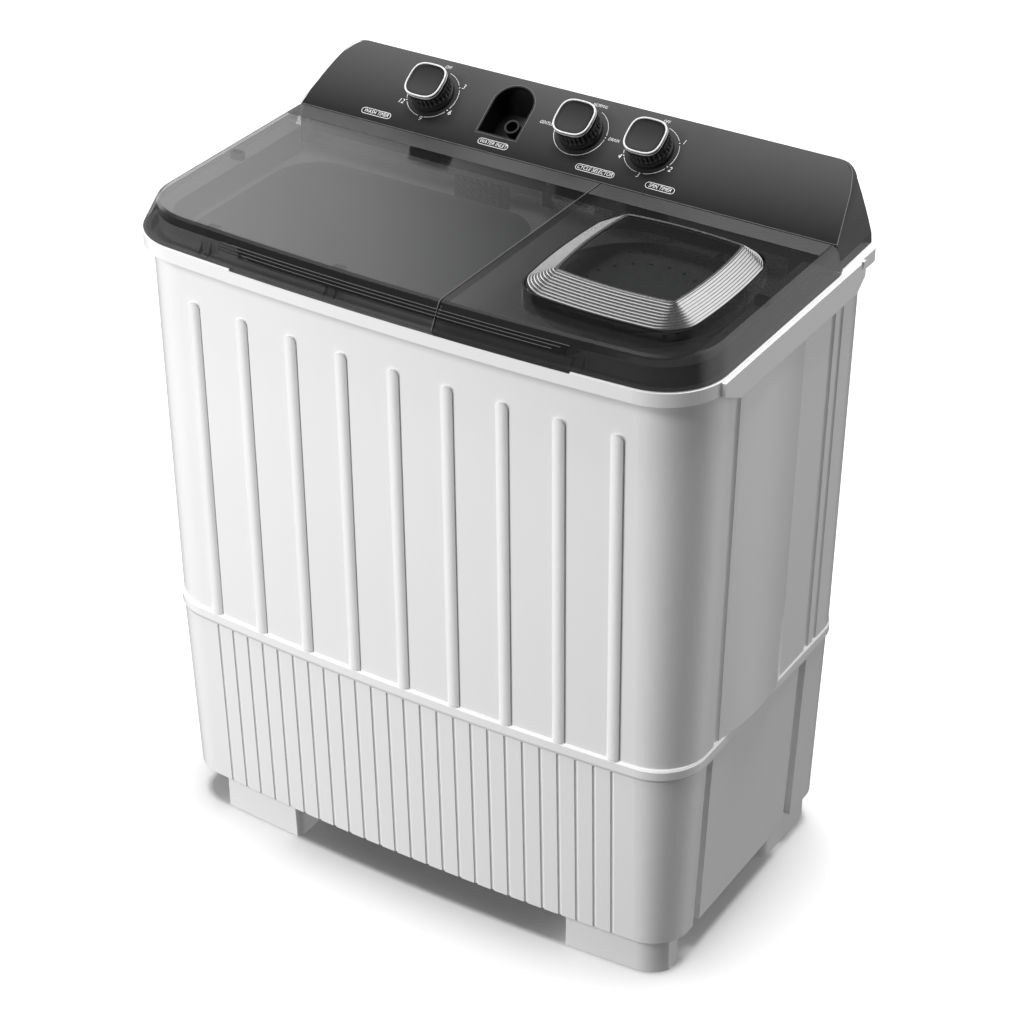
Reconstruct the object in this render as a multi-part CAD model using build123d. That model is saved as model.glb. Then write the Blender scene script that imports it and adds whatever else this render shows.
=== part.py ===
from build123d import *
import os
from math import cos, pi, radians, sin
from typing import NamedTuple

# Twin tub washer, in millimetres. The row frame has +X to the right, +Y to the back and +Z up.
# The origin is on the floor, under the middle of the machine.

# ---------------------------------------------------------------- driving dimensions: levels
BASE_BOTTOM = 46.4        # underside of the base skirt, which is also the height of the feet
LIP_BOTTOM = 275.4        # the smooth lip band round the top of the base starts here
SEAM = 292.0              # joint between the base and the cabinet
RIB_TOP = 693.7           # round tops of the raised front ribs
RAIL_BOTTOM = 725.0
RIM_BOTTOM = 742.0
DECK_BOTTOM = 745.0       # the deck plate lies on the cabinet's top edge
DECK_TOP = 748.0
PANEL_BOTTOM = 757.0
GRIP_BOTTOM = 756.9       # the lids' skirts dip to here where the fingers take hold
RIM_TOP = 759.2
LID_BOTTOM = 759.8
BORDER_LOW = 764.0        # top of the deck's raised border along the finger grip
SPIN_COLLAR_TOP = 770.6
BORDER_TOP = 777.0        # top of that border elsewhere
LID_TOP = 788.6
TURRET_LEDGE = 799.6      # outer edge of the window frame's sloping ring
TURRET_TOP = 815.6        # inner edge of that ring, where the pane sits
PANEL_TOP = 844.0
FLANK_TOP = 830.0         # above this the panel's side outline turns over into its top edge
# Right side outline of the panel, as (x, z) from its foot to its top edge, at its front and at its back.
PANEL_FRONT_SHAPE = ((342.0, PANEL_BOTTOM), (341.9, 768.0), (336.3, 797.0), (338.6, 826.0), (331.0, 839.0),
                     (305.8, PANEL_TOP))
PANEL_REAR_SHAPE = ((340.0, PANEL_BOTTOM), (339.0, 768.0), (329.5, 797.0), (318.0, 826.0), (311.0, 838.6),
                    (297.8, PANEL_TOP))

# ---------------------------------------------------------------- driving dimensions: plan
REAR_Y = 208.4            # back of the control panel
BODY_REAR_Y = 202.0
RIM_REAR_Y = 207.0
RAIL_X = 353.7            # outer face of the side rails, the widest point
BOW = 14.6                # how far the bowed front stands ahead of the front corners
WALL = 3.0
TUB_WALL = 2.5
GAP = 0.4                 # clear space between neighbours that move apart

RIB_PITCH = 65.0
RIB_COUNT = 9
RIB_WIDTH = 14.5
RIB_PROUD = 3.4
FLUTE_COUNT = 25
FLUTE_RADIUS = 2.3
FLUTE_DEPTH = 1.5

# ---------------------------------------------------------------- driving dimensions: lids
LID_SPLIT_X = 58.0
LID_SIDE_X = 348.5
LID_FRONT_Y = -208.4
LID_REAR_Y = 123.5
LID_TOP_SIDE_X = 341.0
LID_TOP_FRONT_Y = -194.5
LID_CORNER = 71.0
LID_SHOULDER = 6.0
LID_WALL = 2.5
HINGE_Y = 114.5
HINGE_Z = 780.0
PIN_RADIUS = 2.5
LEG_FRONT_Y = 92.0        # front of the legs that carry the hinge knuckles
RUNNING = 0.05            # radial clearance of everything that turns on a pin or in a bearing
KNUCKLE_RADIUS = 5.0
EAR_WIDTH = 6.0
KNUCKLE_LENGTH = 14.0
WASH_EARS = (-318.0, 0.0)
SPIN_EARS = (88.0, 297.0)
RIDGES_X = (-215.0, 205.0)
LIP_POCKET = 3.4          # depth of the rim's pocket for the grip lip
GRIP_X = (-195.0, 214.0)
RIDGE_LEVELS = (773.0, 776.0, 779.0)
TURRET = (110.0, 312.6, -154.5, 55.5)      # outline of the window frame: x0, x1, y0, y1
PANE = (140.5, 287.5, -123.0, 32.0)
COMBS_X = ((-194.0, -137.0), (-2.0, 49.0), (82.0, 136.0))

# ---------------------------------------------------------------- driving dimensions: panel
PANEL_FOOT_Y = 124.2      # lower edge of the sloping face
FACE_SLOPE = 34.0         # degrees from the horizontal
PANEL_WALL = 3.0
KNOB_X = {"wash_timer": -186.1, "cycle": 5.5, "spin_timer": 93.8}
KNOB_UP = {"wash_timer": 53.2, "cycle": 54.2, "spin_timer": 54.0}
KNOB_RADIUS = 25.5
KNOB_SKIRT_HEIGHT = 20.0
KNOB_HEIGHT = 28.5
ARCH_X = -87.2
ARCH_BOTTOM = 21.5
ARCH_RADIUS = 26.2
ARCH_SPRING = 64.2        # height up the slope where the round head of the arch starts

# ---------------------------------------------------------------- driving dimensions: deck
WASH_MOUTH = (-302.0, 22.0, -168.0, 78.0)  # x0, x1, y0, y1
SPIN_MOUTH_RADIUS = 106.0
COLLAR = 3.0
COVER_RADIUS = 109.5
COVER_HINGE_Y = 74.0
COVER_HINGE_Z = 775.0
COVER_EARS = (170.0, 240.0)
SHELF_FRONT_Y = 128.5
BORDER_REAR_Y = 96.0

# ---------------------------------------------------------------- driving dimensions: works
WASH_AXIS = (-140.0, -55.0)
SPIN_AXIS = (205.0, -50.0)
MOTOR_AXIS = (20.0, -55.0)
DRAIN_AXIS = (-262.0, 34.0)
DRAIN_OUTLET_Z = 82.0
TUB_FLOOR = 352.0
RECESS_FLOOR = 340.0
RECESS_RADIUS = 110.0
CASING_RADIUS = 118.0
CASING_FLOOR = 303.0
BASKET_RADIUS = 104.0
SHAFT_RADIUS = 8.0
BRAKE_PIVOT = (262.0, -115.0)
BELT_Z = 175.0
BIG_PULLEY_RADIUS = 88.0
SMALL_PULLEY_RADIUS = 22.0


class Level(NamedTuple):
    """Plan outline of a moulding at one height."""
    half_width: float
    front_y: float
    rear_y: float
    corner: float
    rear_corner: float


BASE_LOW = Level(330.0, -180.8, BODY_REAR_Y, 46.0, 40.0)
BASE_HIGH = Level(338.3, -188.6, BODY_REAR_Y, 56.0, 43.0)
LIP = Level(341.4, -190.0, BODY_REAR_Y + 1.2, 58.0, 44.0)
BODY_LOW = Level(340.0, -187.3, BODY_REAR_Y, 58.0, 43.0)
BODY_HIGH = Level(346.8, -194.1, BODY_REAR_Y, 69.0, 43.0)
RIM = Level(350.0, -208.4, RIM_REAR_Y, 72.0, 12.0)
BORDER_OUTSIDE = Level(335.5, -193.9, RIM_REAR_Y, 66.0, 2.0)
BORDER_INSIDE = Level(315.5, -182.0, 300.0, 46.0, 2.0)

parts = {}


def inset(level, distance):
    """The same outline, moved inwards all round."""
    return Level(level.half_width - distance, level.front_y + distance, level.rear_y - distance,
                 max(level.corner - distance, 2.0), max(level.rear_corner - distance, 2.0))


def between(low, high, share):
    return Level(*(a + (b - a) * share for a, b in zip(low, high)))


def plan(level, z):
    """Bowed front, straight sides and back, rounded corners, as a face at height z."""
    x, side_y = level.half_width, level.front_y + BOW
    outline = ThreePointArc((-x, side_y), (0, level.front_y), (x, side_y))
    outline += Line((x, side_y), (x, level.rear_y))
    outline += Line((x, level.rear_y), (-x, level.rear_y))
    outline += Line((-x, level.rear_y), (-x, side_y))
    face = make_face(outline)
    face = fillet(face.vertices().group_by(Axis.Y)[0], level.corner)
    face = fillet(face.vertices().group_by(Axis.Y)[-1], level.rear_corner)
    return Pos(0, 0, z) * face


def stack(*levels):
    """Solid through a list of (level, z) outlines, straight between them."""
    return loft([plan(level, z) for level, z in levels], ruled=True)


def block(x0, x1, y0, y1, z0, z1):
    return Pos((x0 + x1) / 2, (y0 + y1) / 2, (z0 + z1) / 2) * Box(x1 - x0, y1 - y0, z1 - z0)


def disc(axis, radius, z0, z1):
    return Pos(axis[0], axis[1], (z0 + z1) / 2) * Cylinder(radius, z1 - z0)


def ring(axis, outer, inner, z0, z1):
    return disc(axis, outer, z0, z1) - disc(axis, inner, z0 - 1, z1 + 1)


def rod_x(x0, x1, y, z, radius):
    return Pos((x0 + x1) / 2, y, z) * Rot(0, 90, 0) * Cylinder(radius, x1 - x0)


def rod_y(x, y0, y1, z, radius):
    return Pos(x, (y0 + y1) / 2, z) * Rot(90, 0, 0) * Cylinder(radius, y1 - y0)


def rounded(x0, x1, y0, y1, radius, z0, z1):
    """Upright block with rounded vertical edges."""
    face = Pos((x0 + x1) / 2, (y0 + y1) / 2, z0) * RectangleRounded(x1 - x0, y1 - y0, radius)
    return extrude(face, z1 - z0, dir=(0, 0, 1))


def both_sides(shape):
    return shape + mirror(shape, Plane.YZ)


def bow_at(x, level):
    """How far the bowed front has fallen back at x."""
    return BOW * (x / level.half_width) ** 2


def save(name, shape):
    parts[name] = shape


# ---------------------------------------------------------------- casing
def upright_groove(y, low_x, high_x, z0, z1, radius, grow=0.0):
    """Round-bottomed vertical groove that follows the side's taper, centred outside the wall."""
    foot = Pos(low_x + radius * 0.45, y, z0) * Circle(radius + grow)
    head = Pos(high_x + radius * 0.45, y, z1) * Circle(radius + grow)
    return loft([foot, head], ruled=True)


def make_base():
    outer = stack((BASE_LOW, BASE_BOTTOM), (BASE_HIGH, LIP_BOTTOM), (LIP, LIP_BOTTOM + 4),
                  (LIP, SEAM - 2.5), (inset(LIP, 1.6), SEAM))
    low, high = inset(BASE_LOW, WALL), inset(BASE_HIGH, WALL)
    inner = stack((low, BASE_BOTTOM + WALL), (high, SEAM + 1))
    slot_low, slot_deep, slot_top = BASE_BOTTOM - 1, 9.0, LIP_BOTTOM - 4
    for slot_y, slot_width in ((-107.0, 14.0), (110.5, 18.0)):
        y0, y1 = slot_y - slot_width / 2, slot_y + slot_width / 2
        slot = block(BASE_LOW.half_width - slot_deep, RAIL_X, y0, y1, slot_low, slot_top)
        boxed = block(BASE_LOW.half_width - slot_deep - WALL, RAIL_X, y0 - WALL, y1 + WALL,
                      slot_low, slot_top + WALL)
        outer -= both_sides(slot)
        inner -= both_sides(boxed)
    base = outer - inner
    floor_hole = inset(BASE_LOW, 30.0)
    base -= stack((floor_hole, BASE_BOTTOM - 1), (floor_hole, BASE_BOTTOM + WALL + 1))
    rise = BASE_HIGH.front_y - BASE_LOW.front_y
    for i in range(FLUTE_COUNT):
        x = (i - (FLUTE_COUNT - 1) / 2) * RIB_PITCH / 3
        y = BASE_LOW.front_y + bow_at(x, BASE_LOW) - FLUTE_RADIUS + FLUTE_DEPTH
        foot = Pos(x, y, BASE_BOTTOM - 1) * Circle(FLUTE_RADIUS)
        top_y = BASE_HIGH.front_y + bow_at(x, BASE_HIGH) - FLUTE_RADIUS + FLUTE_DEPTH
        head = Pos(x, top_y, LIP_BOTTOM) * Circle(FLUTE_RADIUS)
        base -= loft([foot, head], ruled=True)
    base -= block(-215, 245, BODY_REAR_Y - 2 * WALL, REAR_Y, 85, 262)
    base -= rod_y(DRAIN_AXIS[0], BODY_REAR_Y - 2 * WALL, REAR_Y, DRAIN_OUTLET_Z, 22)
    save("base_skirt", base)

    plate = stack((inset(BASE_LOW, WALL + 1), BASE_BOTTOM + WALL),
                  (inset(BASE_LOW, WALL + 1), BASE_BOTTOM + 2 * WALL))
    for y0, y1 in ((-119, -95), (95, 126)):
        plate -= both_sides(block(310, 340, y0, y1, BASE_BOTTOM, BASE_BOTTOM + 3 * WALL))
    for x in (-200, -120, -40, 40):
        plate -= rounded(x - 12, x + 12, -40, 40, 10, BASE_BOTTOM, BASE_BOTTOM + 3 * WALL)
    save("bottom_plate", plate)


def make_feet():
    rows = {"front_feet": (-175.5, -112.5), "rear_feet": (80, 192)}
    footprint = stack((inset(BASE_LOW, 6.0), 0), (inset(BASE_LOW, 5.0), BASE_BOTTOM))
    for name, (y0, y1) in rows.items():
        pair = [rounded(x0, x1, y0, y1, 16, 0, BASE_BOTTOM) & footprint
                for x0, x1 in ((-274, -165), (196, 318))]
        save(name, Compound(children=pair))


def cabinet_outer():
    """Outside of the cabinet before ribs, up to its top edge."""
    return stack((BODY_LOW, SEAM), (BODY_HIGH, DECK_BOTTOM))


def side_bulge():
    """Shallow crowned panel on the cabinet's side, flatter towards the top."""
    faces = []
    for level, z, proud in ((BODY_LOW, SEAM, 9.0), (BODY_HIGH, DECK_BOTTOM, 3.6)):
        x = level.half_width
        y0, middle, y1 = -84.0, -18.0, 48.0
        edge = ThreePointArc((x, y0), (x + proud, middle), (x, y1))
        edge += Polyline((x, y1), (x - 2, y1), (x - 2, y0), (x, y0))
        faces.append(Pos(0, 0, z) * make_face(edge))
    return loft(faces, ruled=True)


def front_rib(x):
    """Raised rib with a crowned face and a round top, following the bowed, tapered front."""
    faces = []
    for level, z in ((BODY_LOW, SEAM), (BODY_HIGH, DECK_BOTTOM)):
        y = level.front_y + bow_at(x, level)
        half = RIB_WIDTH / 2
        edge = Polyline((-half, -1.0), (-half, 2.0), (half, 2.0), (half, -1.0))
        edge += ThreePointArc((half, -1.0), (0, -RIB_PROUD), (-half, -1.0))
        faces.append(Pos(x, y, z) * make_face(edge))
    bar = loft(faces, ruled=True)
    spring = RIB_TOP - RIB_WIDTH / 2
    above = block(x - RIB_WIDTH, x + RIB_WIDTH, -220, -150, spring, PANEL_TOP)
    return bar - (above - rod_y(x, -230, -140, spring, RIB_WIDTH / 2))


def make_cabinet():
    outer = cabinet_outer() + both_sides(side_bulge())
    outer += [front_rib((i - (RIB_COUNT - 1) / 2) * RIB_PITCH) for i in range(RIB_COUNT)]
    inner = stack((inset(BODY_LOW, WALL), SEAM - 1), (inset(BODY_HIGH, WALL), DECK_BOTTOM + 1))
    for y, radius in ((-98.0, 6.5), (112.0, 6.0), (132.0, 4.5)):
        low, high = BODY_LOW.half_width, BODY_HIGH.half_width
        outer -= both_sides(upright_groove(y, low, high, SEAM - 2, DECK_BOTTOM + 2, radius))
        inner -= both_sides(upright_groove(y, low, high, SEAM - 3, DECK_BOTTOM + 3, radius, WALL))
    save("cabinet_shell", outer - inner)


def side_rail():
    """Carrying rail with a bevelled top, cut off at a slant at both ends."""
    x = RIM.half_width - 5
    side = Polyline((-141, RIM_BOTTOM), (-106, RAIL_BOTTOM), (150, RAIL_BOTTOM), (168, 739),
                    (168, PANEL_BOTTOM), (-141, PANEL_BOTTOM), close=True)
    rail = extrude(Pos(x, 0, 0) * (Plane.YZ * make_face(side)), RAIL_X - x)
    bevel = Polyline((RAIL_X + 1, 738.5), (RAIL_X + 1, 760), (346.5, 760), (346.5, 758),
                     (RAIL_X - 0.8, 741.5), (RAIL_X, 738.5), close=True)
    rail -= extrude(Pos(0, 175, 0) * Plane.XZ * make_face(bevel), 330)
    notch = Pos(RAIL_X - 3, 160, 748) * Rot(0, 25, 0) * Cylinder(2.6, 20)
    return rail - notch


def hinge_ear(x, y, z, radius, foot_z):
    """Upright ear with a round head and a pin hole."""
    ear = block(x - EAR_WIDTH / 2, x + EAR_WIDTH / 2, y - radius, y + radius, foot_z, z)
    ear += rod_x(x - EAR_WIDTH / 2, x + EAR_WIDTH / 2, y, z, radius)
    return ear - rod_x(x - EAR_WIDTH, x + EAR_WIDTH, y, z, PIN_RADIUS)


def ring_between(outer, inner, low, high, front_cut):
    """Upright wall between two outlines, up to the lower level within the finger grip."""
    wall = stack((outer, low), (outer, high)) - stack((inner, low - 1), (inner, high + 1))
    wall -= block(-400, 400, BORDER_REAR_Y, 300, low - 1, high + 1)
    return wall - block(*GRIP_X, -230, -150, front_cut, high + 1)


def make_deck():
    deck = stack((RIM, RIM_BOTTOM), (RIM, RIM_TOP - 1.5), (inset(RIM, 1.5), RIM_TOP))
    well = stack((inset(RIM, 9), DECK_TOP), (inset(RIM, 9), RIM_TOP + 1))
    deck -= well - block(-400, 400, SHELF_FRONT_Y, 300, DECK_TOP - 1, PANEL_BOTTOM)
    deck -= block(-400, 400, LID_REAR_Y + 0.5, 300, PANEL_BOTTOM, RIM_TOP + 1)
    lip_inside = inset(RIM, LIP_POCKET)
    pocket = stack((RIM, GRIP_BOTTOM - GAP), (RIM, RIM_TOP))
    pocket -= stack((lip_inside, RIM_BOTTOM), (lip_inside, LID_TOP))
    deck -= pocket & block(GRIP_X[0] - 1, GRIP_X[1] + 1, -230, -150, RIM_BOTTOM, LID_TOP)
    deck += ring_between(BORDER_OUTSIDE, BORDER_INSIDE, DECK_TOP - 1, BORDER_TOP, BORDER_LOW)
    hollow = ring_between(inset(BORDER_OUTSIDE, WALL), inset(BORDER_INSIDE, -WALL), DECK_BOTTOM - 1,
                          BORDER_TOP - WALL, BORDER_LOW - WALL)
    deck -= hollow - block(-400, 400, BORDER_REAR_Y - WALL, 300, DECK_BOTTOM - 2, BORDER_TOP)
    deck += both_sides(side_rail())
    deck -= cabinet_outer()
    deck -= both_sides(side_bulge())
    deck -= block(-326, 326, SHELF_FRONT_Y + WALL, 196, DECK_BOTTOM - 1, PANEL_BOTTOM - WALL)
    x0, x1, y0, y1 = WASH_MOUTH
    deck += rounded(x0 - COLLAR, x1 + COLLAR, y0 - COLLAR, y1 + COLLAR, 58, DECK_TOP, DECK_TOP + 4)
    deck += disc(SPIN_AXIS, SPIN_MOUTH_RADIUS + COLLAR, DECK_TOP, SPIN_COLLAR_TOP)
    deck -= rounded(x0, x1, y0, y1, 55, DECK_BOTTOM - 2, DECK_TOP + 6)
    deck -= disc(SPIN_AXIS, SPIN_MOUTH_RADIUS, DECK_BOTTOM - 2, LID_TOP)
    for x in WASH_EARS + SPIN_EARS:
        deck += hinge_ear(x, HINGE_Y, HINGE_Z, 4.5, DECK_TOP)
    for x in COVER_EARS:
        deck += hinge_ear(x, COVER_HINGE_Y, COVER_HINGE_Z, 4.5, DECK_TOP)
    deck -= disc((57, 170), 9, DECK_BOTTOM, PANEL_BOTTOM + 1)
    deck -= disc((-80, 182), 12, DECK_BOTTOM, PANEL_BOTTOM + 1)
    save("top_deck", deck)

    pins = [rod_x(x - EAR_WIDTH / 2, x + EAR_WIDTH / 2 + KNUCKLE_LENGTH, HINGE_Y, HINGE_Z, PIN_RADIUS)
            for x in WASH_EARS + SPIN_EARS]
    pins.append(rod_x(COVER_EARS[0] - EAR_WIDTH / 2, COVER_EARS[1] + EAR_WIDTH / 2,
                      COVER_HINGE_Y, COVER_HINGE_Z, PIN_RADIUS))
    save("hinge_pins", Compound(children=pins))


def comb_blocks(y0, y1, trim=0.0):
    """The openings of the three comb grilles, low in the panel's front wall."""
    return [block(x0 + trim, x1 - trim, y0, y1, DECK_TOP + 14, LID_TOP - 6) for x0, x1 in COMBS_X]


def make_deck_grilles():
    """Black comb grilles in the wall behind the lids, which let the deck's overflow air in."""
    front_y, back_y = SHELF_FRONT_Y - 0.9, SHELF_FRONT_Y + PANEL_WALL
    combs = []
    for comb, (x0, x1) in zip(comb_blocks(front_y, back_y), COMBS_X):
        count = 9
        pitch = (x1 - x0) / count
        for i in range(count):
            x = x0 + (i + 0.5) * pitch
            comb -= block(x - pitch / 4, x + pitch / 4, front_y - 1, back_y - 1, DECK_TOP + 16, LID_TOP - 8)
        combs.append(comb)
    save("deck_grilles", Compound(children=combs))


# ---------------------------------------------------------------- tubs
def tapered_tub(grow, floor_z, top_z):
    """Tapered tub form with rounded corners, grown outwards from the wetted surface."""
    foot = Pos(-138, -43, floor_z) * RectangleRounded(316 + 2 * grow, 236 + 2 * grow, 54 + grow)
    head = Pos(-140, -45, top_z) * RectangleRounded(332 + 2 * grow, 254 + 2 * grow, 58 + grow)
    return loft([foot, head], ruled=True)


def make_wash_tub():
    tub = tapered_tub(TUB_WALL, TUB_FLOOR - WALL, DECK_BOTTOM)
    flange = Pos(-140, -45, DECK_BOTTOM - WALL) * RectangleRounded(348, 270, 66)
    tub += extrude(flange, WALL)
    tub += disc(WASH_AXIS, RECESS_RADIUS + WALL, RECESS_FLOOR - WALL, TUB_FLOOR - 1)
    tub -= tapered_tub(0, TUB_FLOOR, DECK_BOTTOM + 0.01)
    tub -= disc(WASH_AXIS, RECESS_RADIUS, RECESS_FLOOR, TUB_FLOOR + 1)
    tub -= disc(WASH_AXIS, 20, RECESS_FLOOR - 2 * WALL, TUB_FLOOR)
    tub -= disc(DRAIN_AXIS, 14, TUB_FLOOR - 2 * WALL, TUB_FLOOR + 1)
    save("wash_tub", tub)

    save("shaft_seal", ring(WASH_AXIS, 20, SHAFT_RADIUS + RUNNING, RECESS_FLOOR - WALL, RECESS_FLOOR + 1.5))
    back_y = WASH_MOUTH[3] + COLLAR
    screen = block(-100, -31, back_y - 2.7, back_y - 0.1, DECK_TOP + 4, LID_TOP - 9)
    screen = fillet(screen.edges().filter_by(Axis.Y).group_by(Axis.Z)[-1], 5)
    for i in range(7):
        for j in range(3):
            screen -= rod_y(-92.5 + 9 * i, back_y - 4, back_y + 1, DECK_TOP + 11 + 8 * j, 2.6)
    save("lint_filter", screen)


def make_spin_casing():
    casing = ring(SPIN_AXIS, CASING_RADIUS, CASING_RADIUS - TUB_WALL, CASING_FLOOR, DECK_BOTTOM)
    casing += ring(SPIN_AXIS, CASING_RADIUS, 30, CASING_FLOOR - WALL, CASING_FLOOR)
    casing -= disc((SPIN_AXIS[0], DRAIN_AXIS[1]), 11, CASING_FLOOR - 2 * WALL, CASING_FLOOR + 1)
    x, y = BRAKE_PIVOT
    casing += block(x - 10, x + 10, y - 10, y + 10, 262, CASING_FLOOR - WALL) + disc(BRAKE_PIVOT, 4, 242, 262)
    save("spin_drum_casing", casing)

    boot = ring(SPIN_AXIS, 30, SHAFT_RADIUS + GAP, CASING_FLOOR - WALL, CASING_FLOOR)
    boot += ring(SPIN_AXIS, 26, 20, CASING_FLOOR - 14, CASING_FLOOR - WALL)
    boot += ring(SPIN_AXIS, 22, 16, CASING_FLOOR - 24, CASING_FLOOR - 14)
    boot += ring(SPIN_AXIS, 24, SHAFT_RADIUS + GAP, CASING_FLOOR - 28, CASING_FLOOR - 24)
    save("spin_shaft_boot", boot)


def make_basket():
    bottom, top = 314.0, 730.0
    shell = ring(SPIN_AXIS, BASKET_RADIUS, BASKET_RADIUS - 1.8, bottom, top)
    shell += disc(SPIN_AXIS, BASKET_RADIUS, bottom, bottom + WALL)
    shell += ring(SPIN_AXIS, BASKET_RADIUS, BASKET_RADIUS - 12, top - 18, top)
    shell += disc(SPIN_AXIS, 26, bottom - 8, bottom + 16)
    shell -= disc(SPIN_AXIS, SHAFT_RADIUS, bottom - 9, bottom + 8)
    rows, holes = 7, 9
    for row in range(rows):
        z = bottom + 40 + row * 52
        for hole in range(holes):
            turn = 180 / holes * (hole + 0.5 * (row % 2))
            drill = Rot(0, 0, turn) * Rot(0, 90, 0) * Cylinder(3.0, 2 * BASKET_RADIUS + 10)
            shell -= Pos(SPIN_AXIS[0], SPIN_AXIS[1], z) * drill
    save("spin_basket", shell)

    shaft = disc(SPIN_AXIS, SHAFT_RADIUS, 219, bottom + 8)
    save("spin_shaft", shaft)
    drum = ring(SPIN_AXIS, 45, 38, 244, 262) + ring(SPIN_AXIS, 40, SHAFT_RADIUS, 244, 248)
    drum += ring(SPIN_AXIS, 16, SHAFT_RADIUS, 222, 244)
    save("brake_drum", drum)


def make_spin_cover():
    """Inner safety cover of the spin tub, with rows of small holes and a rear hinge."""
    z = SPIN_COLLAR_TOP + GAP
    cover = disc(SPIN_AXIS, COVER_RADIUS, z, z + 3)
    cover += ring(SPIN_AXIS, COVER_RADIUS, COVER_RADIUS - 3, z, z + 5)
    cover += disc(SPIN_AXIS, 82, z, z + 4.5)
    cover += block(COVER_EARS[0] + 8, COVER_EARS[1] - 8, 45, COVER_HINGE_Y, z, z + 4)
    cover += rod_x(COVER_EARS[0] + 4, COVER_EARS[1] - 4, COVER_HINGE_Y, COVER_HINGE_Z, KNUCKLE_RADIUS)
    cover -= rod_x(COVER_EARS[0], COVER_EARS[1], COVER_HINGE_Y, COVER_HINGE_Z, PIN_RADIUS + RUNNING)
    for radius, count in ((62, 20), (92, 40)):
        for i in range(count):
            turn = 2 * pi * i / count
            spot = (SPIN_AXIS[0] + radius * cos(turn), SPIN_AXIS[1] + radius * sin(turn))
            cover -= disc(spot, 2.2, z - 1, z + 6)
    cover += rounded(SPIN_AXIS[0] - 22, SPIN_AXIS[0] + 22, -146, -134, 5, z + 3, z + 11)
    save("spin_cover", cover)


# ---------------------------------------------------------------- drives
def make_wash_drive():
    plate = rounded(-238, 76, -128, 18, 12, 296, 299)
    plate -= disc(WASH_AXIS, 35, 290, 305)
    for x, y, top in ((-226, -110, RECESS_FLOOR - WALL), (-226, 0, RECESS_FLOOR - WALL),
                      (-16, -118, TUB_FLOOR - WALL), (-16, 8, TUB_FLOOR - WALL)):
        plate += disc((x, y), 7, 299, top)
    save("drive_plate", plate)

    gearbox = disc(WASH_AXIS, 34, 200, RECESS_FLOOR - WALL) + disc(WASH_AXIS, 60, 212, 262)
    gearbox += disc(WASH_AXIS, 24, 190, 200)
    gearbox -= disc(WASH_AXIS, SHAFT_RADIUS + RUNNING, 180, RECESS_FLOOR)
    save("gearbox", gearbox)

    motor = disc(MOTOR_AXIS, 48, 206, 284) + disc(MOTOR_AXIS, 40, 198, 290)
    motor += rounded(MOTOR_AXIS[0] - 44, MOTOR_AXIS[0] + 44, MOTOR_AXIS[1] - 44, MOTOR_AXIS[1] + 44,
                     10, 290, 296)
    for i in range(12):
        turn = 2 * pi * i / 12
        motor -= disc((MOTOR_AXIS[0] + 48 * cos(turn), MOTOR_AXIS[1] + 48 * sin(turn)), 3, 214, 276)
    motor -= disc(MOTOR_AXIS, 6 + RUNNING, 190, 240)
    save("wash_motor", motor)

    half_groove = 3.5
    big = disc(WASH_AXIS, BIG_PULLEY_RADIUS, BELT_Z - 7, BELT_Z + 7)
    big -= ring(WASH_AXIS, BIG_PULLEY_RADIUS + 1, BIG_PULLEY_RADIUS - 4, BELT_Z - half_groove,
                BELT_Z + half_groove)
    big -= ring(WASH_AXIS, 74, 24, BELT_Z + 1, BELT_Z + 8) + ring(WASH_AXIS, 74, 24, BELT_Z - 8, BELT_Z - 1)
    for i in range(6):
        turn = 2 * pi * i / 6
        big -= disc((WASH_AXIS[0] + 50 * cos(turn), WASH_AXIS[1] + 50 * sin(turn)), 14, 150, 200)
    big -= disc(WASH_AXIS, SHAFT_RADIUS, 150, 200)
    save("pulsator_pulley", big)
    save("pulsator_shaft", disc(WASH_AXIS, SHAFT_RADIUS, 160, RECESS_FLOOR + 14))

    small = disc(MOTOR_AXIS, SMALL_PULLEY_RADIUS, BELT_Z - 7, BELT_Z + 7)
    small -= ring(MOTOR_AXIS, SMALL_PULLEY_RADIUS + 1, SMALL_PULLEY_RADIUS - 4, BELT_Z - half_groove,
                  BELT_Z + half_groove)
    small += disc(MOTOR_AXIS, 6, BELT_Z + 7, 238)
    save("wash_motor_pulley", small)

    def loop(shrink):
        wheels = Pos(*WASH_AXIS) * Circle(BIG_PULLEY_RADIUS - shrink)
        wheels += Pos(*MOTOR_AXIS) * Circle(SMALL_PULLEY_RADIUS - shrink)
        return make_hull(wheels.edges())

    band = Pos(0, 0, BELT_Z - 3) * (loop(0.5) - loop(4 - GAP))
    save("drive_belt", extrude(band, 6))


def make_pulsator():
    pulsator = disc(WASH_AXIS, 106, 344, 350)
    dome = Pos(WASH_AXIS[0], WASH_AXIS[1], 350) * Cone(60, 18, 18, align=(Align.CENTER,) * 2 + (Align.MIN,))
    pulsator += dome
    blades = 4
    for i in range(blades):
        blade = Pos(58, 0, 357) * Box(80, 16, 26)
        blade = fillet(blade.edges().filter_by(Axis.Z), 7)
        blade = fillet(blade.faces().sort_by(Axis.Z)[-1].edges(), 5)
        pulsator += Pos(WASH_AXIS[0], WASH_AXIS[1], 0) * Rot(0, 0, 360 / blades * i) * blade
    for i in range(18):
        turn = 2 * pi * i / 18
        pulsator -= disc((WASH_AXIS[0] + 92 * cos(turn), WASH_AXIS[1] + 92 * sin(turn)), 2.5, 340, 352)
    pulsator -= disc(WASH_AXIS, SHAFT_RADIUS, 340, RECESS_FLOOR + 14)
    save("pulsator", pulsator)


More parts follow.
